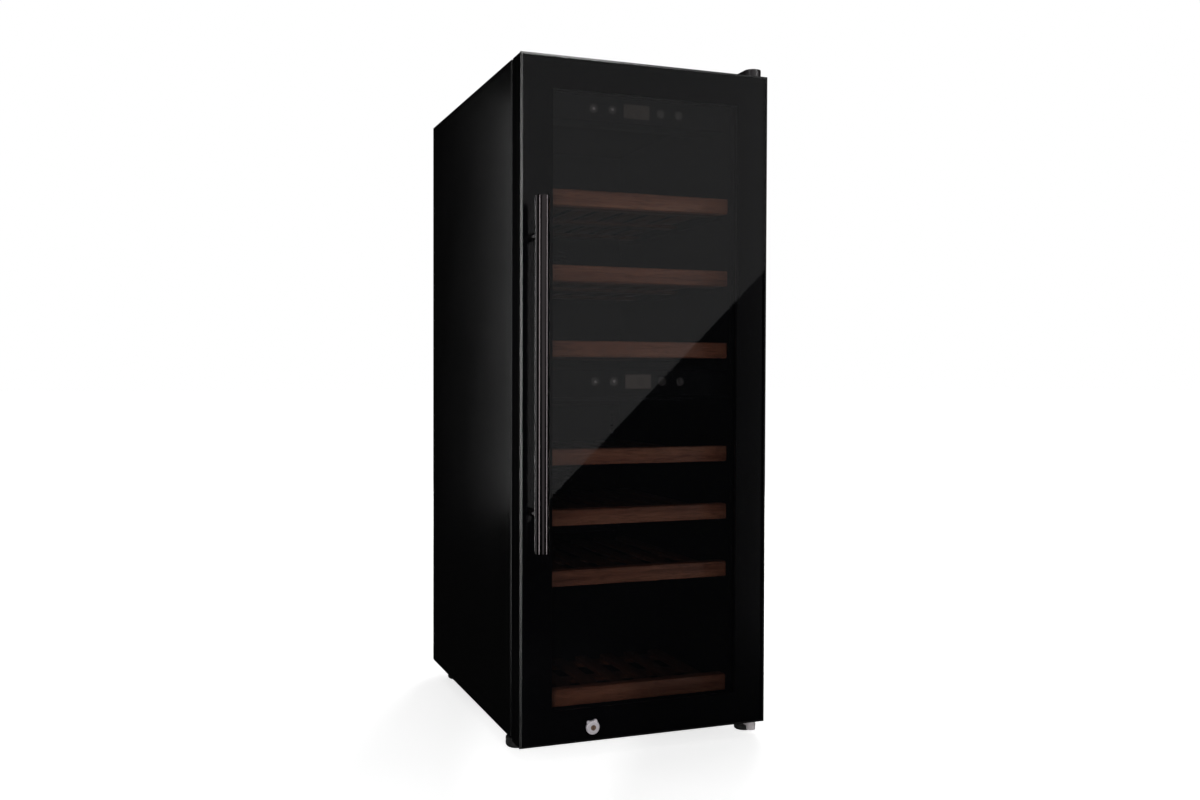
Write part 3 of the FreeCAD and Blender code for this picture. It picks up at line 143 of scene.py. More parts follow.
STAINED_BEECH = [
    (0.28, (0.215, 0.070, 0.036)), (0.45, (0.380, 0.138, 0.076)),
    (0.58, (0.480, 0.188, 0.106)), (0.75, (0.580, 0.250, 0.146)),
]


def wood(name, along, shade=1.0):
    """Stained beech: long grain, pores and flecks, along X for a rail or along Y for a slat. A shade below 1
    darkens the whole wood as painted shade.
    """
    material, tree, shader = new_material(name, (0.40, 0.20, 0.12), 0.5, specular=0.35)
    grain_scale = (0.55, 9.0, 9.0) if along == "X" else (9.0, 0.55, 9.0)
    fleck_scale = (0.09, 1.0, 1.0) if along == "X" else (1.0, 0.09, 1.0)
    grain = noise(tree, coordinates(tree, grain_scale), 7.0, 6.0, 0.62, 0.6)
    flecks = noise(tree, coordinates(tree, fleck_scale), 620.0, 2.0, 0.6)
    base = ramp(tree, grain, [(place, tuple(c * shade for c in colour)) for place, colour in STAINED_BEECH])
    pores = ramp(tree, flecks, [(0.36, (0.55, 0.50, 0.48)), (0.50, (1.0, 1.0, 1.0))])
    mix = tree.nodes.new("ShaderNodeMix")
    mix.data_type = "RGBA"
    mix.blend_type = "MULTIPLY"
    mix.inputs["Factor"].default_value = 0.8
    tree.links.new(base, mix.inputs["A"])
    tree.links.new(pores, mix.inputs["B"])
    tree.links.new(mix.outputs["Result"], shader.inputs["Base Color"])
    tree.links.new(spread(tree, grain, 0.42, 0.62), shader.inputs["Roughness"])
    bump(tree, shader, flecks, 0.25, 0.0002)
    return material


def see_through(name, colour, alpha, roughness, specular=0.5):
    """A pane. Faint smears vary its gloss."""
    material, tree, shader = new_material(name, colour, roughness, specular=specular)
    smears = noise(tree, coordinates(tree, (1, 1, 0.4)), 6.0, 5.0, 0.55, 1.2)
    tree.links.new(spread(tree, smears, roughness * 0.5, roughness * 1.5), shader.inputs["Roughness"])
    shader.inputs["Alpha"].default_value = alpha
    return material


# How far a normal points to the front or the back: a pane's face, its bevel, and its side.
FACE_NORMAL, BEVEL_NORMAL_HIGH = 0.97, 0.90
BEVEL_NORMAL_LOW, SIDE_NORMAL = 0.5, 0.3
BEVEL_ROUGHNESS = 0.22


def bevelled_pane(name, colour, alpha, roughness, edge_reflectance):
    """A smoked pane whose ground bevels, the faces that slant away from the front, are satin and brighter."""
    material = see_through(name, colour, alpha, roughness)
    tree = material.node_tree
    shader = tree.nodes["Principled BSDF"]
    source = tree.nodes.new("ShaderNodeTexCoord")
    parts = tree.nodes.new("ShaderNodeSeparateXYZ")
    facing = tree.nodes.new("ShaderNodeMath")
    facing.operation = "ABSOLUTE"
    edge = tree.nodes.new("ShaderNodeMapRange")
    edge.inputs["From Min"].default_value = FACE_NORMAL
    edge.inputs["From Max"].default_value = BEVEL_NORMAL_HIGH
    tree.links.new(source.outputs["Normal"], parts.inputs["Vector"])
    tree.links.new(parts.outputs["Y"], facing.inputs[0])
    tree.links.new(facing.outputs[0], edge.inputs["Value"])
    slanted = tree.nodes.new("ShaderNodeMapRange")
    slanted.inputs["From Min"].default_value = SIDE_NORMAL
    slanted.inputs["From Max"].default_value = BEVEL_NORMAL_LOW
    tree.links.new(facing.outputs[0], slanted.inputs["Value"])
    both = tree.nodes.new("ShaderNodeMath")
    both.operation = "MULTIPLY"
    tree.links.new(edge.outputs["Result"], both.inputs[0])
    tree.links.new(slanted.outputs["Result"], both.inputs[1])
    on_edge = both.outputs[0]
    ground = ramp(tree, on_edge, [(0.0, colour), (1.0, (edge_reflectance,) * 3)])
    tree.links.new(ground, shader.inputs["Base Color"])
    tree.links.new(on_edge, shader.inputs["Metallic"])
    tree.links.new(spread(tree, on_edge, alpha, 1.0), shader.inputs["Alpha"])
    satin = tree.nodes.new("ShaderNodeMath")
    satin.operation = "MAXIMUM"
    tree.links.new(shader.inputs["Roughness"].links[0].from_socket, satin.inputs[0])
    tree.links.new(spread(tree, on_edge, 0.0, BEVEL_ROUGHNESS), satin.inputs[1])
    tree.links.new(satin.outputs[0], shader.inputs["Roughness"])
    return material


RACK_PAINTED_SHADE = 0.40                    # painted shade: how much darker the slats and cross rails are drawn than the fascias of the same wood
MATERIALS = {
    "shell_black": speckled("shell_powder_coat", (0.0009, 0.0009, 0.0010), 0.24, 1500.0, 0.00003,
                            variation=0.12, specular=0.30),
    "rear_steel": speckled("rear_steel", (0.012, 0.012, 0.013), 0.45, 1200.0, 0.00008, specular=0.4),
    # painted shade: the foam is drawn dark grey-brown, not its own yellow, where it shows in the seams
    "foam": speckled("foam_painted_shade", (0.030, 0.027, 0.022), 0.9, 420.0, 0.0006),
    "liner_black": speckled("liner", (0.005, 0.005, 0.0055), 0.6, 900.0, 0.00004, specular=0.12),
    "cavity_trim": speckled("cavity_trim", (0.004, 0.004, 0.0045), 0.6, 900.0, 0.00004, specular=0.10),
    # painted shade: the slats are the fascias' beech drawn darker
    "beech": wood("beech_slats_painted_shade", "Y", RACK_PAINTED_SHADE),
    "led_diffuser": speckled("smoked_diffuser", (0.014, 0.014, 0.016), 0.3, 1200.0, 0.00004, specular=0.15),
    "bracket_steel": brushed("bracket_steel", (0.62, 0.58, 0.59), 0.42, (0.05, 1, 1), metallic=0.5),
    "screw_steel": brushed("screw_steel", (0.42, 0.42, 0.43), 0.32, (1, 1, 0.2)),
    "hinge_plastic": speckled("hinge_plastic", (0.016, 0.014, 0.015), 0.34, 900.0, 0.00008),
    "panel_black": speckled("panel_black", (0.0025, 0.0025, 0.003), 0.35, 1500.0, 0.00002, specular=0.06),
    "display_smoke": speckled("display_smoke", (0.165, 0.135, 0.118), 0.25, 1500.0, 0.00002, specular=0.2),
    "button_black": speckled("button_black", (0.110, 0.100, 0.098), 0.3, 1500.0, 0.00003, specular=0.2),
    "bare_aluminium": brushed("bare_aluminium", (0.62, 0.63, 0.64), 0.34, (0.06, 1, 1)),
    "fan_plastic": speckled("fan_plastic", (0.012, 0.012, 0.012), 0.45, 900.0, 0.0001),
    "compressor_black": speckled("compressor_enamel", (0.008, 0.008, 0.008), 0.3, 260.0, 0.0002),
    "mount_rubber": speckled("mount_rubber", (0.013, 0.013, 0.013), 0.8, 700.0, 0.0002),
    "terminal_plastic": speckled("terminal_plastic", (0.02, 0.02, 0.02), 0.5, 800.0, 0.0001),
    "copper": brushed("copper", (0.72, 0.33, 0.18), 0.28, (1, 1, 0.2)),
    "tray_plastic": speckled("tray_plastic", (0.42, 0.42, 0.41), 0.5, 600.0, 0.0001),
    "inlet_plastic": speckled("inlet_plastic", (0.012, 0.012, 0.012), 0.35, 900.0, 0.0001),
    "smoked_glass": bevelled_pane("smoked_glass", (0.0012, 0.0012, 0.0016), 0.38, 0.008, 0.80),
    "clear_glass": see_through("clear_glass", (0.02, 0.022, 0.022), 0.10, 0.015, 0.2),
    "frame_black": speckled("frame_black", (0.0018, 0.0018, 0.0020), 0.6, 1200.0, 0.00003, specular=0.01),
    "spacer_black": speckled("spacer_black", (0.004, 0.004, 0.0045), 0.5, 1200.0, 0.00003, specular=0.2),
    "seal_rubber": speckled("seal_rubber", (0.007, 0.007, 0.007), 0.75, 700.0, 0.0002),
    "handle_metal": brushed("black_chrome", (0.052, 0.046, 0.048), 0.15, (1, 1, 0.02), depth=0.00001),
    "lock_chrome": brushed("lock_chrome", (0.52, 0.49, 0.52), 0.34, (1, 1, 1), metallic=0.45, depth=0.000005),
    "lock_brass": brushed("lock_core_metal", (0.16, 0.10, 0.07), 0.35, (1, 1, 1), metallic=0.5,
                          depth=0.00001),
    "foot_black": speckled("foot_black", (0.008, 0.008, 0.008), 0.42, 900.0, 0.0001),
}
FASCIA_WOOD = wood("beech_fascia", "X")
# painted shade: the cross rails are the fascias' beech drawn darker
RAIL_WOOD_PAINTED_SHADE = wood("beech_rail_painted_shade", "X", RACK_PAINTED_SHADE)
# painted shade: the evaporators are drawn near black, not bare aluminium, for the dark behind the cover's
# slots
EVAPORATOR_PAINTED_SHADE = brushed("evaporator_painted_shade", (0.010, 0.010, 0.011), 0.5, (0.06, 1, 1))
PRINTED_MARK = speckled("printed_mark", (0.62, 0.56, 0.55), 0.5, 1500.0, 0.00001, specular=0.2)
DIM_MARK = speckled("dim_mark", (0.16, 0.145, 0.14), 0.5, 1500.0, 0.00001, specular=0.2)
FIGURE_GREY = speckled("figure_grey", (0.045, 0.038, 0.034), 0.35, 1500.0, 0.00001, specular=0.2)
FRIT = speckled("frit_black", (0.0015, 0.0015, 0.0018), 0.3, 1500.0, 0.00002, specular=0.03)

for name, node in frame["nodes"].items():
    node.data.materials.clear()
    node.data.materials.append(EVAPORATOR_PAINTED_SHADE if name == "evaporators" else MATERIALS[SLOT_OF[name]])


# ---------------------------------------------------------------- mesh kit
def finish_piece(name, mesh, material, body, smooth_angle=40.0):
    """A mesh from bmesh becomes a piece that rides on a body."""
    data = bpy.data.meshes.new(name)
    bmesh.ops.recalc_face_normals(mesh, faces=mesh.faces)
    mesh.to_mesh(data)
    mesh.free()
    piece = bpy.data.objects.new(name, data)
    bpy.context.scene.collection.objects.link(piece)
    data.materials.append(material)
    for face in data.polygons:
        face.use_smooth = True
    data.set_sharp_from_angle(angle=math.radians(smooth_angle))
    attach(piece, body)
    return piece


def add_block(mesh, low, high, bevel, segments=3):
    """Adds a box, with its edges rounded, to a mesh."""
    low, high = Vector(low), Vector(high)
    size, centre = high - low, (low + high) / 2
    place = Matrix.Translation(centre) @ Matrix.Diagonal((*size, 1))
    made = bmesh.ops.create_cube(mesh, size=1.0, matrix=place)
    edges = list({edge for vertex in made["verts"] for edge in vertex.link_edges})
    bmesh.ops.bevel(mesh, geom=edges, offset=bevel, segments=segments, affect="EDGES", profile=0.5)


def add_lathe(mesh, profile, centre, segments=48):
    """Adds a turned shape: (radius, height) points spun about an upright axis through the centre."""
    rings = []
    for radius, height in profile:
        ring = []
        for i in range(segments):
            turn = math.tau * i / segments
            offset = Vector((radius * math.cos(turn), radius * math.sin(turn), height))
            ring.append(mesh.verts.new(Vector(centre) + offset))
        rings.append(ring)
    for lower, upper in zip(rings, rings[1:]):
        for i in range(segments):
            j = (i + 1) % segments
            mesh.faces.new((lower[i], lower[j], upper[j], upper[i]))
    for ring in (rings[0], rings[-1]):
        mesh.faces.new(ring)


def add_border(mesh, centre, half_width, half_height, profile):
    """Adds a closed (outward, back) profile swept round an upright rectangle with mitred corners."""
    rings = []
    for side_x, side_z in ((-1, -1), (1, -1), (1, 1), (-1, 1)):
        ring = []
        for u, v in profile:
            shift = Vector((side_x * (half_width + u), v, side_z * (half_height + u)))
            ring.append(mesh.verts.new(Vector(centre) + shift))
        rings.append(ring)
    count = len(profile)
    for here, there in zip(rings, rings[1:] + rings[:1]):
        for i in range(count):
            j = (i + 1) % count
            mesh.faces.new((here[i], here[j], there[j], there[i]))


def add_screw(mesh, centre, radius, height):
    """Adds a pan head with a four-lobed recess, facing +Y."""
    segments = 32
    outline = [(1.0, 0.0, 0.0), (1.0, 0.55, 0.0), (0.86, 0.88, 0.0), (0.62, 1.0, 0.0), (0.46, 1.0, 0.30),
               (0.36, 0.35, 0.30)]
    rings = []
    for share, rise, lobe in outline:
        ring = []
        for i in range(segments):
            turn = math.tau * i / segments
            r = radius * share * (1 + lobe * math.cos(4 * turn))
            offset = Vector((r * math.cos(turn), height * rise, r * math.sin(turn)))
            ring.append(mesh.verts.new(Vector(centre) + offset))
        rings.append(ring)
    for lower, upper in zip(rings, rings[1:]):
        for i in range(segments):
            j = (i + 1) % segments
            mesh.faces.new((lower[i], lower[j], upper[j], upper[i]))
    mesh.faces.new(rings[0])
    mesh.faces.new(rings[-1])


def add_plate(mesh, outline, y, thickness):
    """Adds a flat plate from an (x, z) outline, from y back by its thickness."""
    front = [mesh.verts.new((x, y, z)) for x, z in outline]
    back = [mesh.verts.new((x, y + thickness, z)) for x, z in outline]
    mesh.faces.new(front)
    mesh.faces.new(back[::-1])
    for i in range(len(outline)):
        j = (i + 1) % len(outline)
        mesh.faces.new((front[i], front[j], back[j], back[i]))


# ---------------------------------------------------------------- racks
RAIL_HEIGHT = 0.006
RAIL_WIDTH = 0.030
SLAT_COUNT = 7
SLAT_PITCH = 0.045
SLAT_WIDTH = 0.022
SLAT_TOP = 0.013
FASCIA_THICKNESS = 0.020
FASCIA_EDGE, RAIL_EDGE, SLAT_EDGE = 0.0022, 0.0012, 0.0018
BRAD = [(0.0016, 0.0), (0.0016, 0.0003), (0.0010, 0.0006)]
BRAD_SUNK = 0.0002


def wooden_rack(node, body):
    """A rack of wood: a fascia with softened edges, cross rails, rounded slats and the brads through them."""
    low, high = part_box(node)
    fascia = bmesh.new()
    back_of_fascia = low.y + FASCIA_THICKNESS
    add_block(fascia, low, (high.x, back_of_fascia, high.z), FASCIA_EDGE)
    piece = finish_piece(node + "_fascia", fascia, FASCIA_WOOD, body)
    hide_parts(node)
    rails, strips, brads = bmesh.new(), bmesh.new(), bmesh.new()
    rail_starts = [back_of_fascia, (back_of_fascia + high.y - RAIL_WIDTH) / 2, high.y - RAIL_WIDTH]
    for start in rail_starts:
        end = start + RAIL_WIDTH
        add_block(rails, (low.x, start, low.z), (high.x, end, low.z + RAIL_HEIGHT), RAIL_EDGE)
    for i in range(SLAT_COUNT):
        x = (i - (SLAT_COUNT - 1) / 2) * SLAT_PITCH
        half = SLAT_WIDTH / 2
        add_block(strips, (x - half, back_of_fascia, low.z + RAIL_HEIGHT),
                  (x + half, high.y, low.z + SLAT_TOP), SLAT_EDGE)
        for start in rail_starts:
            centre = (x, start + RAIL_WIDTH / 2, low.z + SLAT_TOP - BRAD_SUNK)
            add_lathe(brads, BRAD, centre, segments=14)
    finish_piece(node + "_rails", rails, RAIL_WOOD_PAINTED_SHADE, body)
    finish_piece(node + "_slats", strips, MATERIALS["beech"], body)
    finish_piece(node + "_brads", brads, MATERIALS["screw_steel"], body)


def racks():
    for number in range(1, 7):
        wooden_rack(f"shelf_{number}", f"shelf_{number}")
    wooden_rack("bottom_rack", "cabinet")


# ---------------------------------------------------------------- door
WINDOW_HALF_WIDTH = 0.148
WINDOW_LOW_INSET = 0.049
WINDOW_HIGH_INSET = 0.047
GLASS_LOW, GLASS_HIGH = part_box("door_glass")


def frit_border():
    """Black enamel fired on the back of the glass round the clear window."""
    edge = 0.0028
    y = GLASS_HIGH.y - 0.0003
    thickness = 0.0002
    outer_half, outer_low, outer_high = GLASS_HIGH.x - edge, GLASS_LOW.z + edge, GLASS_HIGH.z - edge
    inner_low, inner_high = GLASS_LOW.z + WINDOW_LOW_INSET, GLASS_HIGH.z - WINDOW_HIGH_INSET
    corners = []
    for half, low, high in ((outer_half, outer_low, outer_high), (WINDOW_HALF_WIDTH, inner_low, inner_high)):
        corners.append([(-half, low), (half, low), (half, high), (-half, high)])
    mesh = bmesh.new()
    loops = [[mesh.verts.new((x, depth, z)) for x, z in loop]
             for depth in (y, y + thickness) for loop in corners]
    outer_front, inner_front, outer_back, inner_back = loops
    for i in range(4):
        j = (i + 1) % 4
        mesh.faces.new((outer_front[i], outer_front[j], inner_front[j], inner_front[i]))
        mesh.faces.new((outer_back[i], inner_back[i], inner_back[j], outer_back[j]))
        mesh.faces.new((outer_front[i], outer_back[i], outer_back[j], outer_front[j]))
        mesh.faces.new((inner_front[i], inner_front[j], inner_back[j], inner_back[i]))
    finish_piece("frit_border", mesh, FRIT, "door")


def door_seal():
    """The magnetic seal: a dart, a pleat and the flat magnet pocket."""
    low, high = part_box("door_gasket")
    half_band = 0.0055
    depth = high.y - low.y
    half_outline = [(1.0, 0.0), (1.0, 0.22), (0.62, 0.30), (0.55, 0.42), (0.92, 0.52), (1.0, 0.62),
                    (1.0, 0.94), (0.94, 1.0)]
    outline = [(-u, v) for u, v in half_outline] + half_outline[::-1]
    profile = [(u * half_band, v * depth) for u, v in outline]
    centre = Vector((0, low.y, (low.z + high.z) / 2))
    mesh = bmesh.new()
    add_border(mesh, centre, high.x - half_band, (high.z - low.z) / 2 - half_band, profile)
    piece = finish_piece("door_seal", mesh, MATERIALS["seal_rubber"], "door", 30.0)
    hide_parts("door_gasket")


STILE_CHAMFER = 0.008


def door_edge_trim():
    """Grooved skins on the frame's upright faces. The hinge stile's stops at its chamfer."""
    low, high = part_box("door_frame")
    proud, land, groove = 0.0007, 0.0072, 0.0008
    narrowest, margin = 0.002, 0.0002
    mesh = bmesh.new()
    for side in (-1, 1):
        face = side * high.x
        start = low.y
        last = high.y - (STILE_CHAMFER if side > 0 else 0.0)
        while start < last - narrowest:
            end = min(start + land, last)
            x_low, x_high = sorted((face, face + side * proud))
            add_block(mesh, (x_low, start + margin, low.z), (x_high, end - groove, high.z), 0.0002, 2)
            start = end
    finish_piece("door_edge_trim", mesh, MATERIALS["frame_black"], "door")


# ---------------------------------------------------------------- controls
SEGMENTS = {
    "top": (0, 2, True), "middle": (0, 1, True), "bottom": (0, 0, True),
    "upper_left": (0, 1, False), "upper_right": (1, 1, False),
    "lower_left": (0, 0, False), "lower_right": (1, 0, False),
}
DIGITS = {
    "1": ("upper_right", "lower_right"),
    "2": ("top", "upper_right", "middle", "lower_left", "bottom"),
    "8": tuple(SEGMENTS),
}


def display_digits(zone, node_box, text):
    """Unlit segment figures on the face of the display's lens."""
    low, high = node_box
    centre = Vector(((low.x + high.x) / 2, low.y, (low.z + high.z) / 2))
    height, width, gap = 0.0060, 0.0066, 0.0012
    stroke, half_depth = 0.0011, 0.0002
    pitch = 0.0095
    mesh = bmesh.new()
    for index, figure in enumerate(text):
        left = centre.x + (index - len(text) / 2) * pitch + (pitch - width) / 2
        for segment in DIGITS[figure]:
            column, row, flat = SEGMENTS[segment]
            x = left + column * width
            z = centre.z + (row - 1) * height
            if flat:
                corners = ((left + gap, z - stroke / 2), (left + width - gap, z + stroke / 2))
            else:
                corners = ((x - stroke / 2, z + gap / 2), (x + stroke / 2, z + height - gap / 2))
            (x_low, z_low), (x_high, z_high) = corners
            add_block(mesh, (x_low, centre.y - half_depth, z_low), (x_high, centre.y + half_depth, z_high),
                      0.0001, 1)
    finish_piece(zone + "_display_digits", mesh, FIGURE_GREY, "cabinet")


def arrow(centre, up):
    """A triangle's corners as (x, z), pointing up or down."""
    size = 0.0026
    sign = 1 if up else -1
    return [(centre.x - size, centre.z - sign * size * 0.8), (centre.x + size, centre.z - sign * size * 0.8),
            (centre.x, centre.z + sign * size)]


RING_INNER, RING_OUTER = 0.0022, 0.0028
RING_STEPS = 24
MARK_THICKNESS = 0.0003
MARK_PROUD = 0.00012
BAR_HALF_WIDTH = 0.0003


def button_icon(zone, name):
    """The printed mark on a button: an arrow, a lamp's ring or a power mark."""
    node = f"{zone}_{name}_button"
    low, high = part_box(node)
    centre = (low + high) / 2
    y = low.y - MARK_PROUD
    mesh = bmesh.new()
    if name in ("up", "down"):
        add_plate(mesh, arrow(centre, name == "up"), y, MARK_THICKNESS)
    else:
        gap = 0.9 if name == "power" else 0.0
        start, end = math.pi / 2 + gap / 2, math.pi / 2 + math.tau - gap / 2
        for i in range(RING_STEPS):
            here, there = (start + (end - start) * (i + k) / RING_STEPS for k in (0, 1))
            corners = ((RING_INNER, here), (RING_OUTER, here), (RING_OUTER, there), (RING_INNER, there))
            outline = [(centre.x + r * math.cos(t), centre.z + r * math.sin(t)) for r, t in corners]
            add_plate(mesh, outline, y, MARK_THICKNESS)
        left, right = centre.x - BAR_HALF_WIDTH, centre.x + BAR_HALF_WIDTH
        reach_low, reach_high = (0.0004, 0.0034) if name == "power" else (-0.0012, 0.0012)
        low_end, high_end = centre.z + reach_low, centre.z + reach_high
        bar = [(left, low_end), (right, low_end), (right, high_end), (left, high_end)]
        add_plate(mesh, bar, y, MARK_THICKNESS)
    mark = PRINTED_MARK if name in ("up", "down") else DIM_MARK
    finish_piece(node + "_mark", mesh, mark, node)


def controls():
    low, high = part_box("display_boards")
    middle_height = (low.z + high.z) / 2
    for zone in ("upper", "lower"):
        points = [v.co for v in frame["nodes"]["display_boards"].data.vertices
                  if (v.co.z > middle_height) == (zone == "upper")]
        corner_low = Vector(min(p[k] for p in points) for k in range(3))
        corner_high = Vector(max(p[k] for p in points) for k in range(3))
        display_digits(zone, (corner_low, corner_high), "12" if zone == "upper" else "18")
        for name in ("up", "down", "set", "power"):
            button_icon(zone, name)


# ---------------------------------------------------------------- cabinet
def cabinet_lid():
    """The top sheet with softened edges."""
    low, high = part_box("top_panel")
    sheet, lip, lip_inset, lip_under = 0.0011, 0.001, 0.013, 0.0006
    mesh = bmesh.new()
    add_block(mesh, (low.x, low.y, high.z - sheet), high, 0.0005, 3)
    add_block(mesh, (low.x + lip_inset, low.y, low.z),
              (high.x - lip_inset, low.y + lip, high.z - lip_under), 0.0003, 2)
    piece = finish_piece("cabinet_lid", mesh, MATERIALS["shell_black"], "cabinet")
    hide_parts("top_panel")


SMALL_GLIDE_RADIUS = 0.016
SMALL_GLIDE_HEIGHT, GLIDE_HEIGHT = 0.009, 0.0155
GRIP_DEPTH = 0.0006
STUD_RADIUS, THREAD_ROOT, THREAD_PITCH = 0.0040, 0.0034, 0.00125


def feet():
    """Moulded glides with a grip ring, and their threaded studs."""
    for corner in ("front_left", "front_right", "rear_left", "rear_right"):
        node = "foot_" + corner
        low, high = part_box(node)
        centre = Vector(((low.x + high.x) / 2, (low.y + high.y) / 2, low.z))
        radius = (high.x - low.x) / 2
        height = SMALL_GLIDE_HEIGHT if radius < SMALL_GLIDE_RADIUS else GLIDE_HEIGHT
        corner_radius = height / 3
        profile = [(radius - corner_radius, 0.0)]
        for step in range(1, 7):
            turn = step / 6 * math.pi / 2
            profile.append((radius - corner_radius * (1 - math.sin(turn)),
                            corner_radius * (1 - math.cos(turn))))
        grip = radius - GRIP_DEPTH
        profile += [(radius, height * 0.55), (grip, height * 0.58), (grip, height * 0.64),
                    (radius, height * 0.67), (radius, height - 0.001), (radius - 0.001, height),
                    (STUD_RADIUS, height)]
        mesh = bmesh.new()
        add_lathe(mesh, profile, centre)
        stud = [(STUD_RADIUS, height - 0.001)]
        z = height
        while z < high.z - THREAD_PITCH:
            stud += [(THREAD_ROOT, z + THREAD_PITCH / 2), (STUD_RADIUS, z + THREAD_PITCH)]
            z += THREAD_PITCH
        stud.append((THREAD_ROOT, high.z))
        thread = bmesh.new()
        add_lathe(thread, stud, centre, segments=24)
        piece = finish_piece(node + "_glide", mesh, MATERIALS["foot_black"], node)
        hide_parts(node)
        finish_piece(node + "_stud", thread, MATERIALS["screw_steel"], node)


def islands(node):
    """The boxes of a node's separate solids."""
    mesh = bmesh.new()
    mesh.from_mesh(frame["nodes"][node].data)
    bmesh.ops.remove_doubles(mesh, verts=mesh.verts, dist=1e-6)
    left = set(mesh.verts)
    boxes = []
    while left:
        group, edge_of_group = set(), [left.pop()]
        while edge_of_group:
            vertex = edge_of_group.pop()
            group.add(vertex)
            for edge in vertex.link_edges:
                other = edge.other_vert(vertex)
                if other in left:
                    left.discard(other)
                    edge_of_group.append(other)
        corners = [[pick(v.co[k] for v in group) for k in range(3)] for pick in (min, max)]
        boxes.append(tuple(Vector(corner) for corner in corners))
    mesh.free()
    return sorted(boxes, key=lambda pair: tuple(round(c, 5) for c in pair[0]))


WASHER_RADIUS, WASHER_THICKNESS = 0.0052, 0.0005
HEX_RADIUS, HEX_TOP_RADIUS = 0.0042, 0.0036
HEX_EDGE, HEX_HEIGHT = 0.0020, 0.0024


def cabinet_screws():
    """Rear pan heads with recesses, and the hinges' hexagon heads with washers."""
    pans, hexes = bmesh.new(), bmesh.new()
    for low, high in islands("cabinet_screws"):
        centre = (low + high) / 2
        size = high - low
        if size.y < size.z:
            add_screw(pans, (centre.x, low.y, centre.z), size.x / 2, size.y)
        else:
            outward = 1 if centre.z > MIDDLE_HEIGHT else -1
            seat = (centre.x, centre.y, low.z if outward > 0 else high.z)
            washer = [(WASHER_RADIUS, 0.0), (WASHER_RADIUS, outward * WASHER_THICKNESS)]
            head = [(HEX_RADIUS, 0.0), (HEX_RADIUS, outward * HEX_EDGE),
                    (HEX_TOP_RADIUS, outward * HEX_HEIGHT)]
            add_lathe(hexes, washer, seat, segments=32)
            add_lathe(hexes, head, seat, segments=6)
    piece = finish_piece("pan_head_screws", pans, MATERIALS["screw_steel"], "cabinet")
    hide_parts("cabinet_screws")
    finish_piece("hex_head_screws", hexes, MATERIALS["screw_steel"], "cabinet", 20.0)


def add_bead(mesh, start, end, half_width, height, y):
    """Adds a pressed ridge between two (x, z) points on the rear face, with round ends."""
    start, end = Vector((start[0], 0, start[1])), Vector((end[0], 0, end[1]))
    along = (end - start).normalized()
    across = Vector((-along.z, 0, along.x))
    stations = [(start, -math.pi / 2 + math.pi / 2 * k / 6) for k in range(7)]
    stations += [(end, math.pi / 2 * k / 6) for k in range(7)]
    rows = []
    for place, turn in stations:
        reach = math.cos(turn)
        centre = place + along * math.sin(turn) * half_width
        row = []
        for k in range(9):
            lean = -math.pi / 2 + math.pi * k / 8
            rise = height * math.cos(lean) * reach
            spot = centre + across * math.sin(lean) * half_width * max(reach, 0.001)
            row.append(mesh.verts.new((spot.x, y + rise, spot.z)))
        rows.append(row)
    for here, there in zip(rows, rows[1:]):
        for i in range(8):
            mesh.faces.new((here[i], here[i + 1], there[i + 1], there[i]))


def rear_beads():
    """Stiffening beads pressed outwards in the rear sheet."""
    low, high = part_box("back_panel")
    mesh = bmesh.new()
    y = high.y - 0.00005
    inset, margin, gap = 0.045, 0.05, 0.03
    half_width, rise = 0.006, 0.0012
    bay_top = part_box("rear_cover")[1].z
    bottom, top = bay_top + margin, high.z - margin
    left, right = low.x + inset, high.x - inset
    for x in (left, right):
        add_bead(mesh, (x, bottom + gap), (x, top - gap), half_width, rise, y)
    levels = 5
    for i in range(levels):
        z = bottom + (top - bottom) * i / (levels - 1)
        add_bead(mesh, (left + gap, z), (right - gap, z), half_width, rise, y)
    finish_piece("rear_beads", mesh, MATERIALS["rear_steel"], "cabinet", 60.0)


LOUVRE_CENTRES = (-0.060, 0.060)
LOUVRE_HALF = 0.042
LOUVRE_PITCH = 0.012
LOUVRE_LOWEST = 0.092
LOUVRE_ROWS = 8


def louvre_hoods():
    """A pressed hood over each slot of the bay's cover."""
    low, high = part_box("rear_cover")
    mesh = bmesh.new()
    depth, sheet = 0.0030, 0.0006
    crest, drop, overhang = 0.0045, 0.0065, 0.002
    for centre in LOUVRE_CENTRES:
        for row in range(LOUVRE_ROWS):
            slot_z = LOUVRE_LOWEST + row * LOUVRE_PITCH
            for layer in (0.0, 1.0):
                grid = []
                for i in range(17):
                    along = -1 + 2 * i / 16
                    taper = math.sqrt(max(0.0, 1 - along ** 6))
                    line = []
                    for k in range(6):
                        turn = math.pi / 2 * k / 5
                        inset = layer * sheet
                        y = high.y - 0.0002 + (depth - inset) * math.sin(turn) * taper
                        z = slot_z + crest - drop * (1 - math.cos(turn)) - inset * math.cos(turn)
                        line.append(mesh.verts.new((centre + along * (LOUVRE_HALF + overhang), y, z)))
                    grid.append(line)
                for a, b in zip(grid, grid[1:]):
                    for k in range(5):
                        mesh.faces.new((a[k], a[k + 1], b[k + 1], b[k]))
    finish_piece("louvre_hoods", mesh, MATERIALS["rear_steel"], "cabinet", 60.0)


racks()
frit_border()
door_seal()
door_edge_trim()
controls()
cabinet_lid()
feet()
cabinet_screws()
rear_beads()
louvre_hoods()


# ---------------------------------------------------------------- stage, light and camera
FLOOR_HALF = 40.0
NEAR_FLOOR, FAR_FLOOR = 1.2, 3.4
NEAR_GLOW, FAR_GLOW = 0.72, 1.03


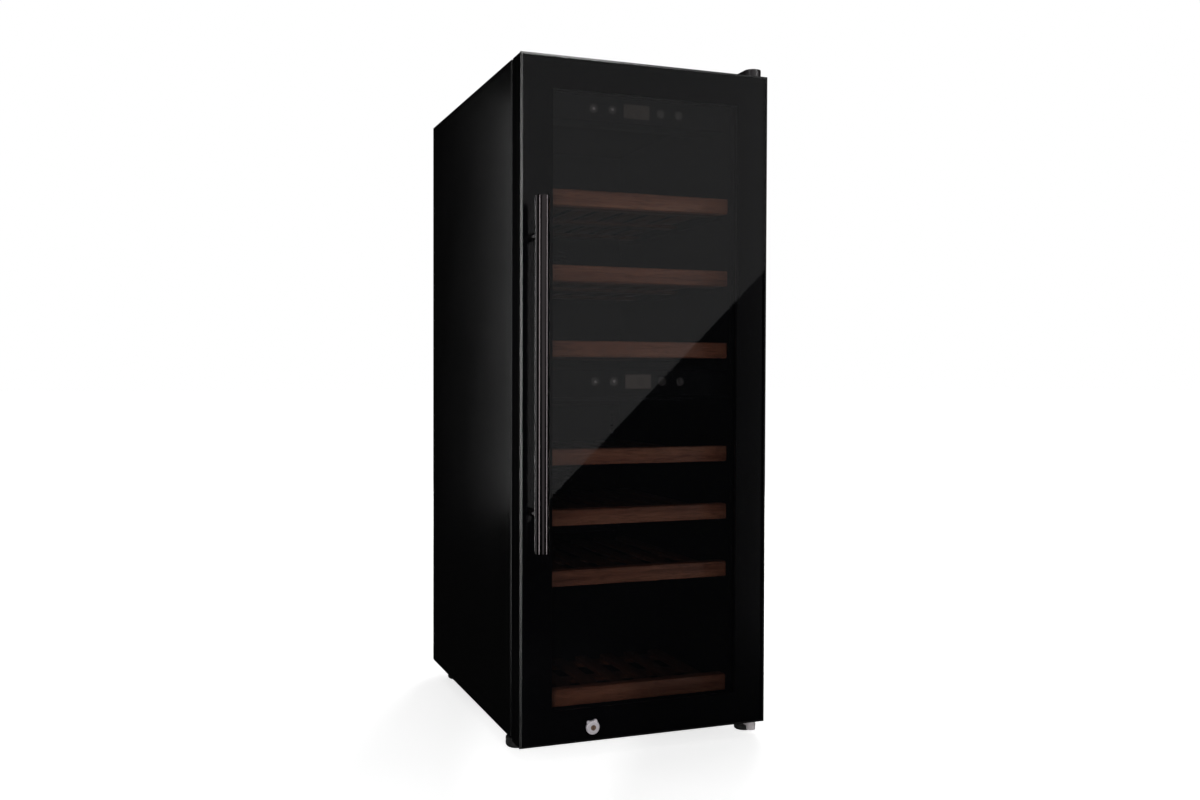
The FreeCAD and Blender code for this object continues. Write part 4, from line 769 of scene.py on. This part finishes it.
def pale_floor():
    """White paper with a glow of its own, stronger far away, where it meets the white behind it."""
    mesh = bmesh.new()
    bmesh.ops.create_grid(mesh, x_segments=8, y_segments=8, size=FLOOR_HALF)
    data = bpy.data.meshes.new("floor")
    mesh.to_mesh(data)
    mesh.free()
    floor = bpy.data.objects.new("floor", data)
    bpy.context.scene.collection.objects.link(floor)
    material, tree, shader = new_material("floor_paper", (0.93, 0.93, 0.93), 0.8, specular=0.1)
    shader.inputs["Emission Color"].default_value = (1, 1, 1, 1)
    distance = tree.nodes.new("ShaderNodeVectorMath")
    distance.operation = "LENGTH"
    tree.links.new(coordinates(tree), distance.inputs[0])
    glow = tree.nodes.new("ShaderNodeMapRange")
    for key, value in (("From Min", NEAR_FLOOR), ("From Max", FAR_FLOOR), ("To Min", NEAR_GLOW),
                       ("To Max", FAR_GLOW)):
        glow.inputs[key].default_value = value
    tree.links.new(distance.outputs["Value"], glow.inputs["Value"])
    tree.links.new(glow.outputs["Result"], shader.inputs["Emission Strength"])
    shade = noise(tree, coordinates(tree), 3.0, 3.0)
    paper = ramp(tree, shade, [(0.3, (0.92, 0.92, 0.92)), (0.7, (0.94, 0.94, 0.94))])
    tree.links.new(paper, shader.inputs["Base Color"])
    floor.data.materials.append(material)
    floor.visible_glossy = False


def aimed(place, target):
    """The matrix of a lamp that shines from a place to its target."""
    aim = (Vector(target) - Vector(place)).to_track_quat("-Z", "Y").to_matrix().to_4x4()
    return Matrix.Translation(place) @ aim


def soft_light(name, place, target, width, height, watts):
    """An area light turned to its target. The camera doesn't see it, and mirrors do."""
    light = bpy.data.lights.new(name, "AREA")
    light.shape = "RECTANGLE"
    light.size, light.size_y = width, height
    light.energy = watts
    lamp = bpy.data.objects.new(name, light)
    bpy.context.scene.collection.objects.link(lamp)
    lamp.matrix_world = aimed(place, target)
    lamp.visible_camera = False
    return lamp


def studio_world():
    """White behind the object, and dim in its reflections, as between a photographer's black flags."""
    world = bpy.data.worlds.new("studio")
    bpy.context.scene.world = world
    world.use_nodes = True
    tree = world.node_tree
    seen = tree.nodes["Background"]
    seen.inputs["Color"].default_value = (1, 1, 1, 1)
    seen.inputs["Strength"].default_value = 1.0
    dim = tree.nodes.new("ShaderNodeBackground")
    dim.inputs["Color"].default_value = (1, 1, 1, 1)
    dim.inputs["Strength"].default_value = 0.004
    path = tree.nodes.new("ShaderNodeLightPath")
    choose = tree.nodes.new("ShaderNodeMixShader")
    tree.links.new(path.outputs["Is Camera Ray"], choose.inputs[0])
    tree.links.new(dim.outputs[0], choose.inputs[1])
    tree.links.new(seen.outputs[0], choose.inputs[2])
    tree.links.new(choose.outputs[0], tree.nodes["World Output"].inputs["Surface"])


CAMERA_PLACE = Vector((-0.6832, GLASS_LOW.y - 1.5861, GLASS_LOW.z + 0.5334))
CAMERA_YAW, CAMERA_PITCH, CAMERA_ROLL = (math.radians(angle) for angle in (20.94, -1.17, 0.17))
FOCAL_WIDTHS = 0.9726


def photo_camera():
    """A camera left of the door, near half its height, with everything in focus."""
    forward = Vector((
        math.sin(CAMERA_YAW) * math.cos(CAMERA_PITCH),
        math.cos(CAMERA_YAW) * math.cos(CAMERA_PITCH),
        math.sin(CAMERA_PITCH),
    ))
    level_right = forward.cross(Vector((0, 0, 1))).normalized()
    level_up = level_right.cross(forward)
    right = level_right * math.cos(CAMERA_ROLL) + level_up * math.sin(CAMERA_ROLL)
    up = right.cross(forward)
    data = bpy.data.cameras.new("camera")
    data.sensor_width = 36.0
    data.lens = 36.0 * FOCAL_WIDTHS
    camera = bpy.data.objects.new("camera", data)
    turned = Matrix((right, up, -forward)).transposed().to_4x4()
    camera.matrix_world = Matrix.Translation(CAMERA_PLACE) @ turned
    bpy.context.scene.collection.objects.link(camera)
    bpy.context.scene.camera = camera


def mirrored(x, z, plane_y):
    """Where the camera sees a point of an upright plane mirrored at (x, z) on the door's glass."""
    mirror_place = Vector((CAMERA_PLACE.x, 2 * GLASS_LOW.y - CAMERA_PLACE.y, CAMERA_PLACE.z))
    on_glass = Vector((x, GLASS_LOW.y, z))
    reach = (mirror_place.y - plane_y) / (mirror_place.y - GLASS_LOW.y)
    return mirror_place + (on_glass - mirror_place) * reach


SOFTBOX_DISTANCE = 2.55
SOFTBOX_WIDTH, SOFTBOX_DEPTH = 3.4, 2.4
SOFTBOX_WATTS = 17.0
EDGE_AT_LEFT, EDGE_AT_RIGHT = 0.3131, 0.6998


def diagonal_softbox():
    """A softbox ahead of the door. The glass mirrors its slanting lower edge from side to side."""
    plane_y = GLASS_LOW.y - SOFTBOX_DISTANCE
    low = mirrored(GLASS_LOW.x, GLASS_LOW.z + EDGE_AT_LEFT, plane_y)
    high = mirrored(GLASS_HIGH.x, GLASS_LOW.z + EDGE_AT_RIGHT, plane_y)
    edge = (high - low).normalized()
    over = Vector((-edge.z, 0, edge.x))
    centre = (low + high) / 2 + over * SOFTBOX_DEPTH / 2
    light = bpy.data.lights.new("diagonal_softbox", "AREA")
    light.shape = "RECTANGLE"
    light.size, light.size_y = SOFTBOX_WIDTH, SOFTBOX_DEPTH
    light.energy = SOFTBOX_WATTS
    lamp = bpy.data.objects.new("diagonal_softbox", light)
    bpy.context.scene.collection.objects.link(lamp)
    turned = Matrix((edge, over, edge.cross(over))).transposed().to_4x4()
    lamp.matrix_world = Matrix.Translation(centre) @ turned
    lamp.visible_camera = False


def soft_pool(name, place, target, degrees, blend, radius, watts):
    """A soft-edged pool of light that leaves no reflection."""
    light = bpy.data.lights.new(name, "SPOT")
    light.energy = watts
    light.spot_size = math.radians(degrees)
    light.spot_blend = blend
    light.shadow_soft_size = radius
    lamp = bpy.data.objects.new(name, light)
    bpy.context.scene.collection.objects.link(lamp)
    lamp.matrix_world = aimed(place, target)
    lamp.visible_glossy = False
    lamp.visible_camera = False


HANDLE_SPOT = (-0.18, -0.3, 0.6)


def studio_lights():
    """A front light and two pools for the wood, strips that draw lines on steel, and two lights behind."""
    diagonal_softbox()
    front = soft_light("front_softbox", (-0.8, -1.6, 0.42), (0.0, -0.2, 0.5), 1.0, 0.35, 8.0)
    front.visible_glossy = False
    soft_pool("upper_spot", (-0.75, -1.5, 0.80), (0.02, -0.2, 0.80), 24.0, 0.5, 0.10, 17.0)
    soft_pool("rack_spot", (-0.75, -1.6, 0.42), (-0.135, -0.2, 0.035), 10.0, 0.3, 0.03, 42.0)
    soft_light("left_strip", (-1.75, 0.75, 0.60), HANDLE_SPOT, 0.60, 1.8, 4.4)
    line_on_left = soft_light("front_left_strip", (-1.86, -1.19, 0.60), HANDLE_SPOT, 0.24, 1.8, 15.0)
    line_on_right = soft_light("right_strip", (0.51, -0.70, 0.60), HANDLE_SPOT, 0.10, 1.2, 4.0)
    for strip in (line_on_left, line_on_right):
        strip.visible_diffuse = False
    soft_light("left_rear_strip", (-0.508, 0.5, 0.70), (-0.2, -0.0, 0.70), 0.05, 0.85, 0.25)
    soft_light("rear_softbox", (1.8, 3.0, 1.6), (0, 0.3, 0.5), 1.5, 1.5, 60.0)
    soft_light("top_softbox", (0.4, 0.6, 2.9), (0, 0, 1), 2.0, 2.0, 30.0)


bpy.context.scene.view_settings.view_transform = "Standard"
pale_floor()
studio_world()
photo_camera()
studio_lights()
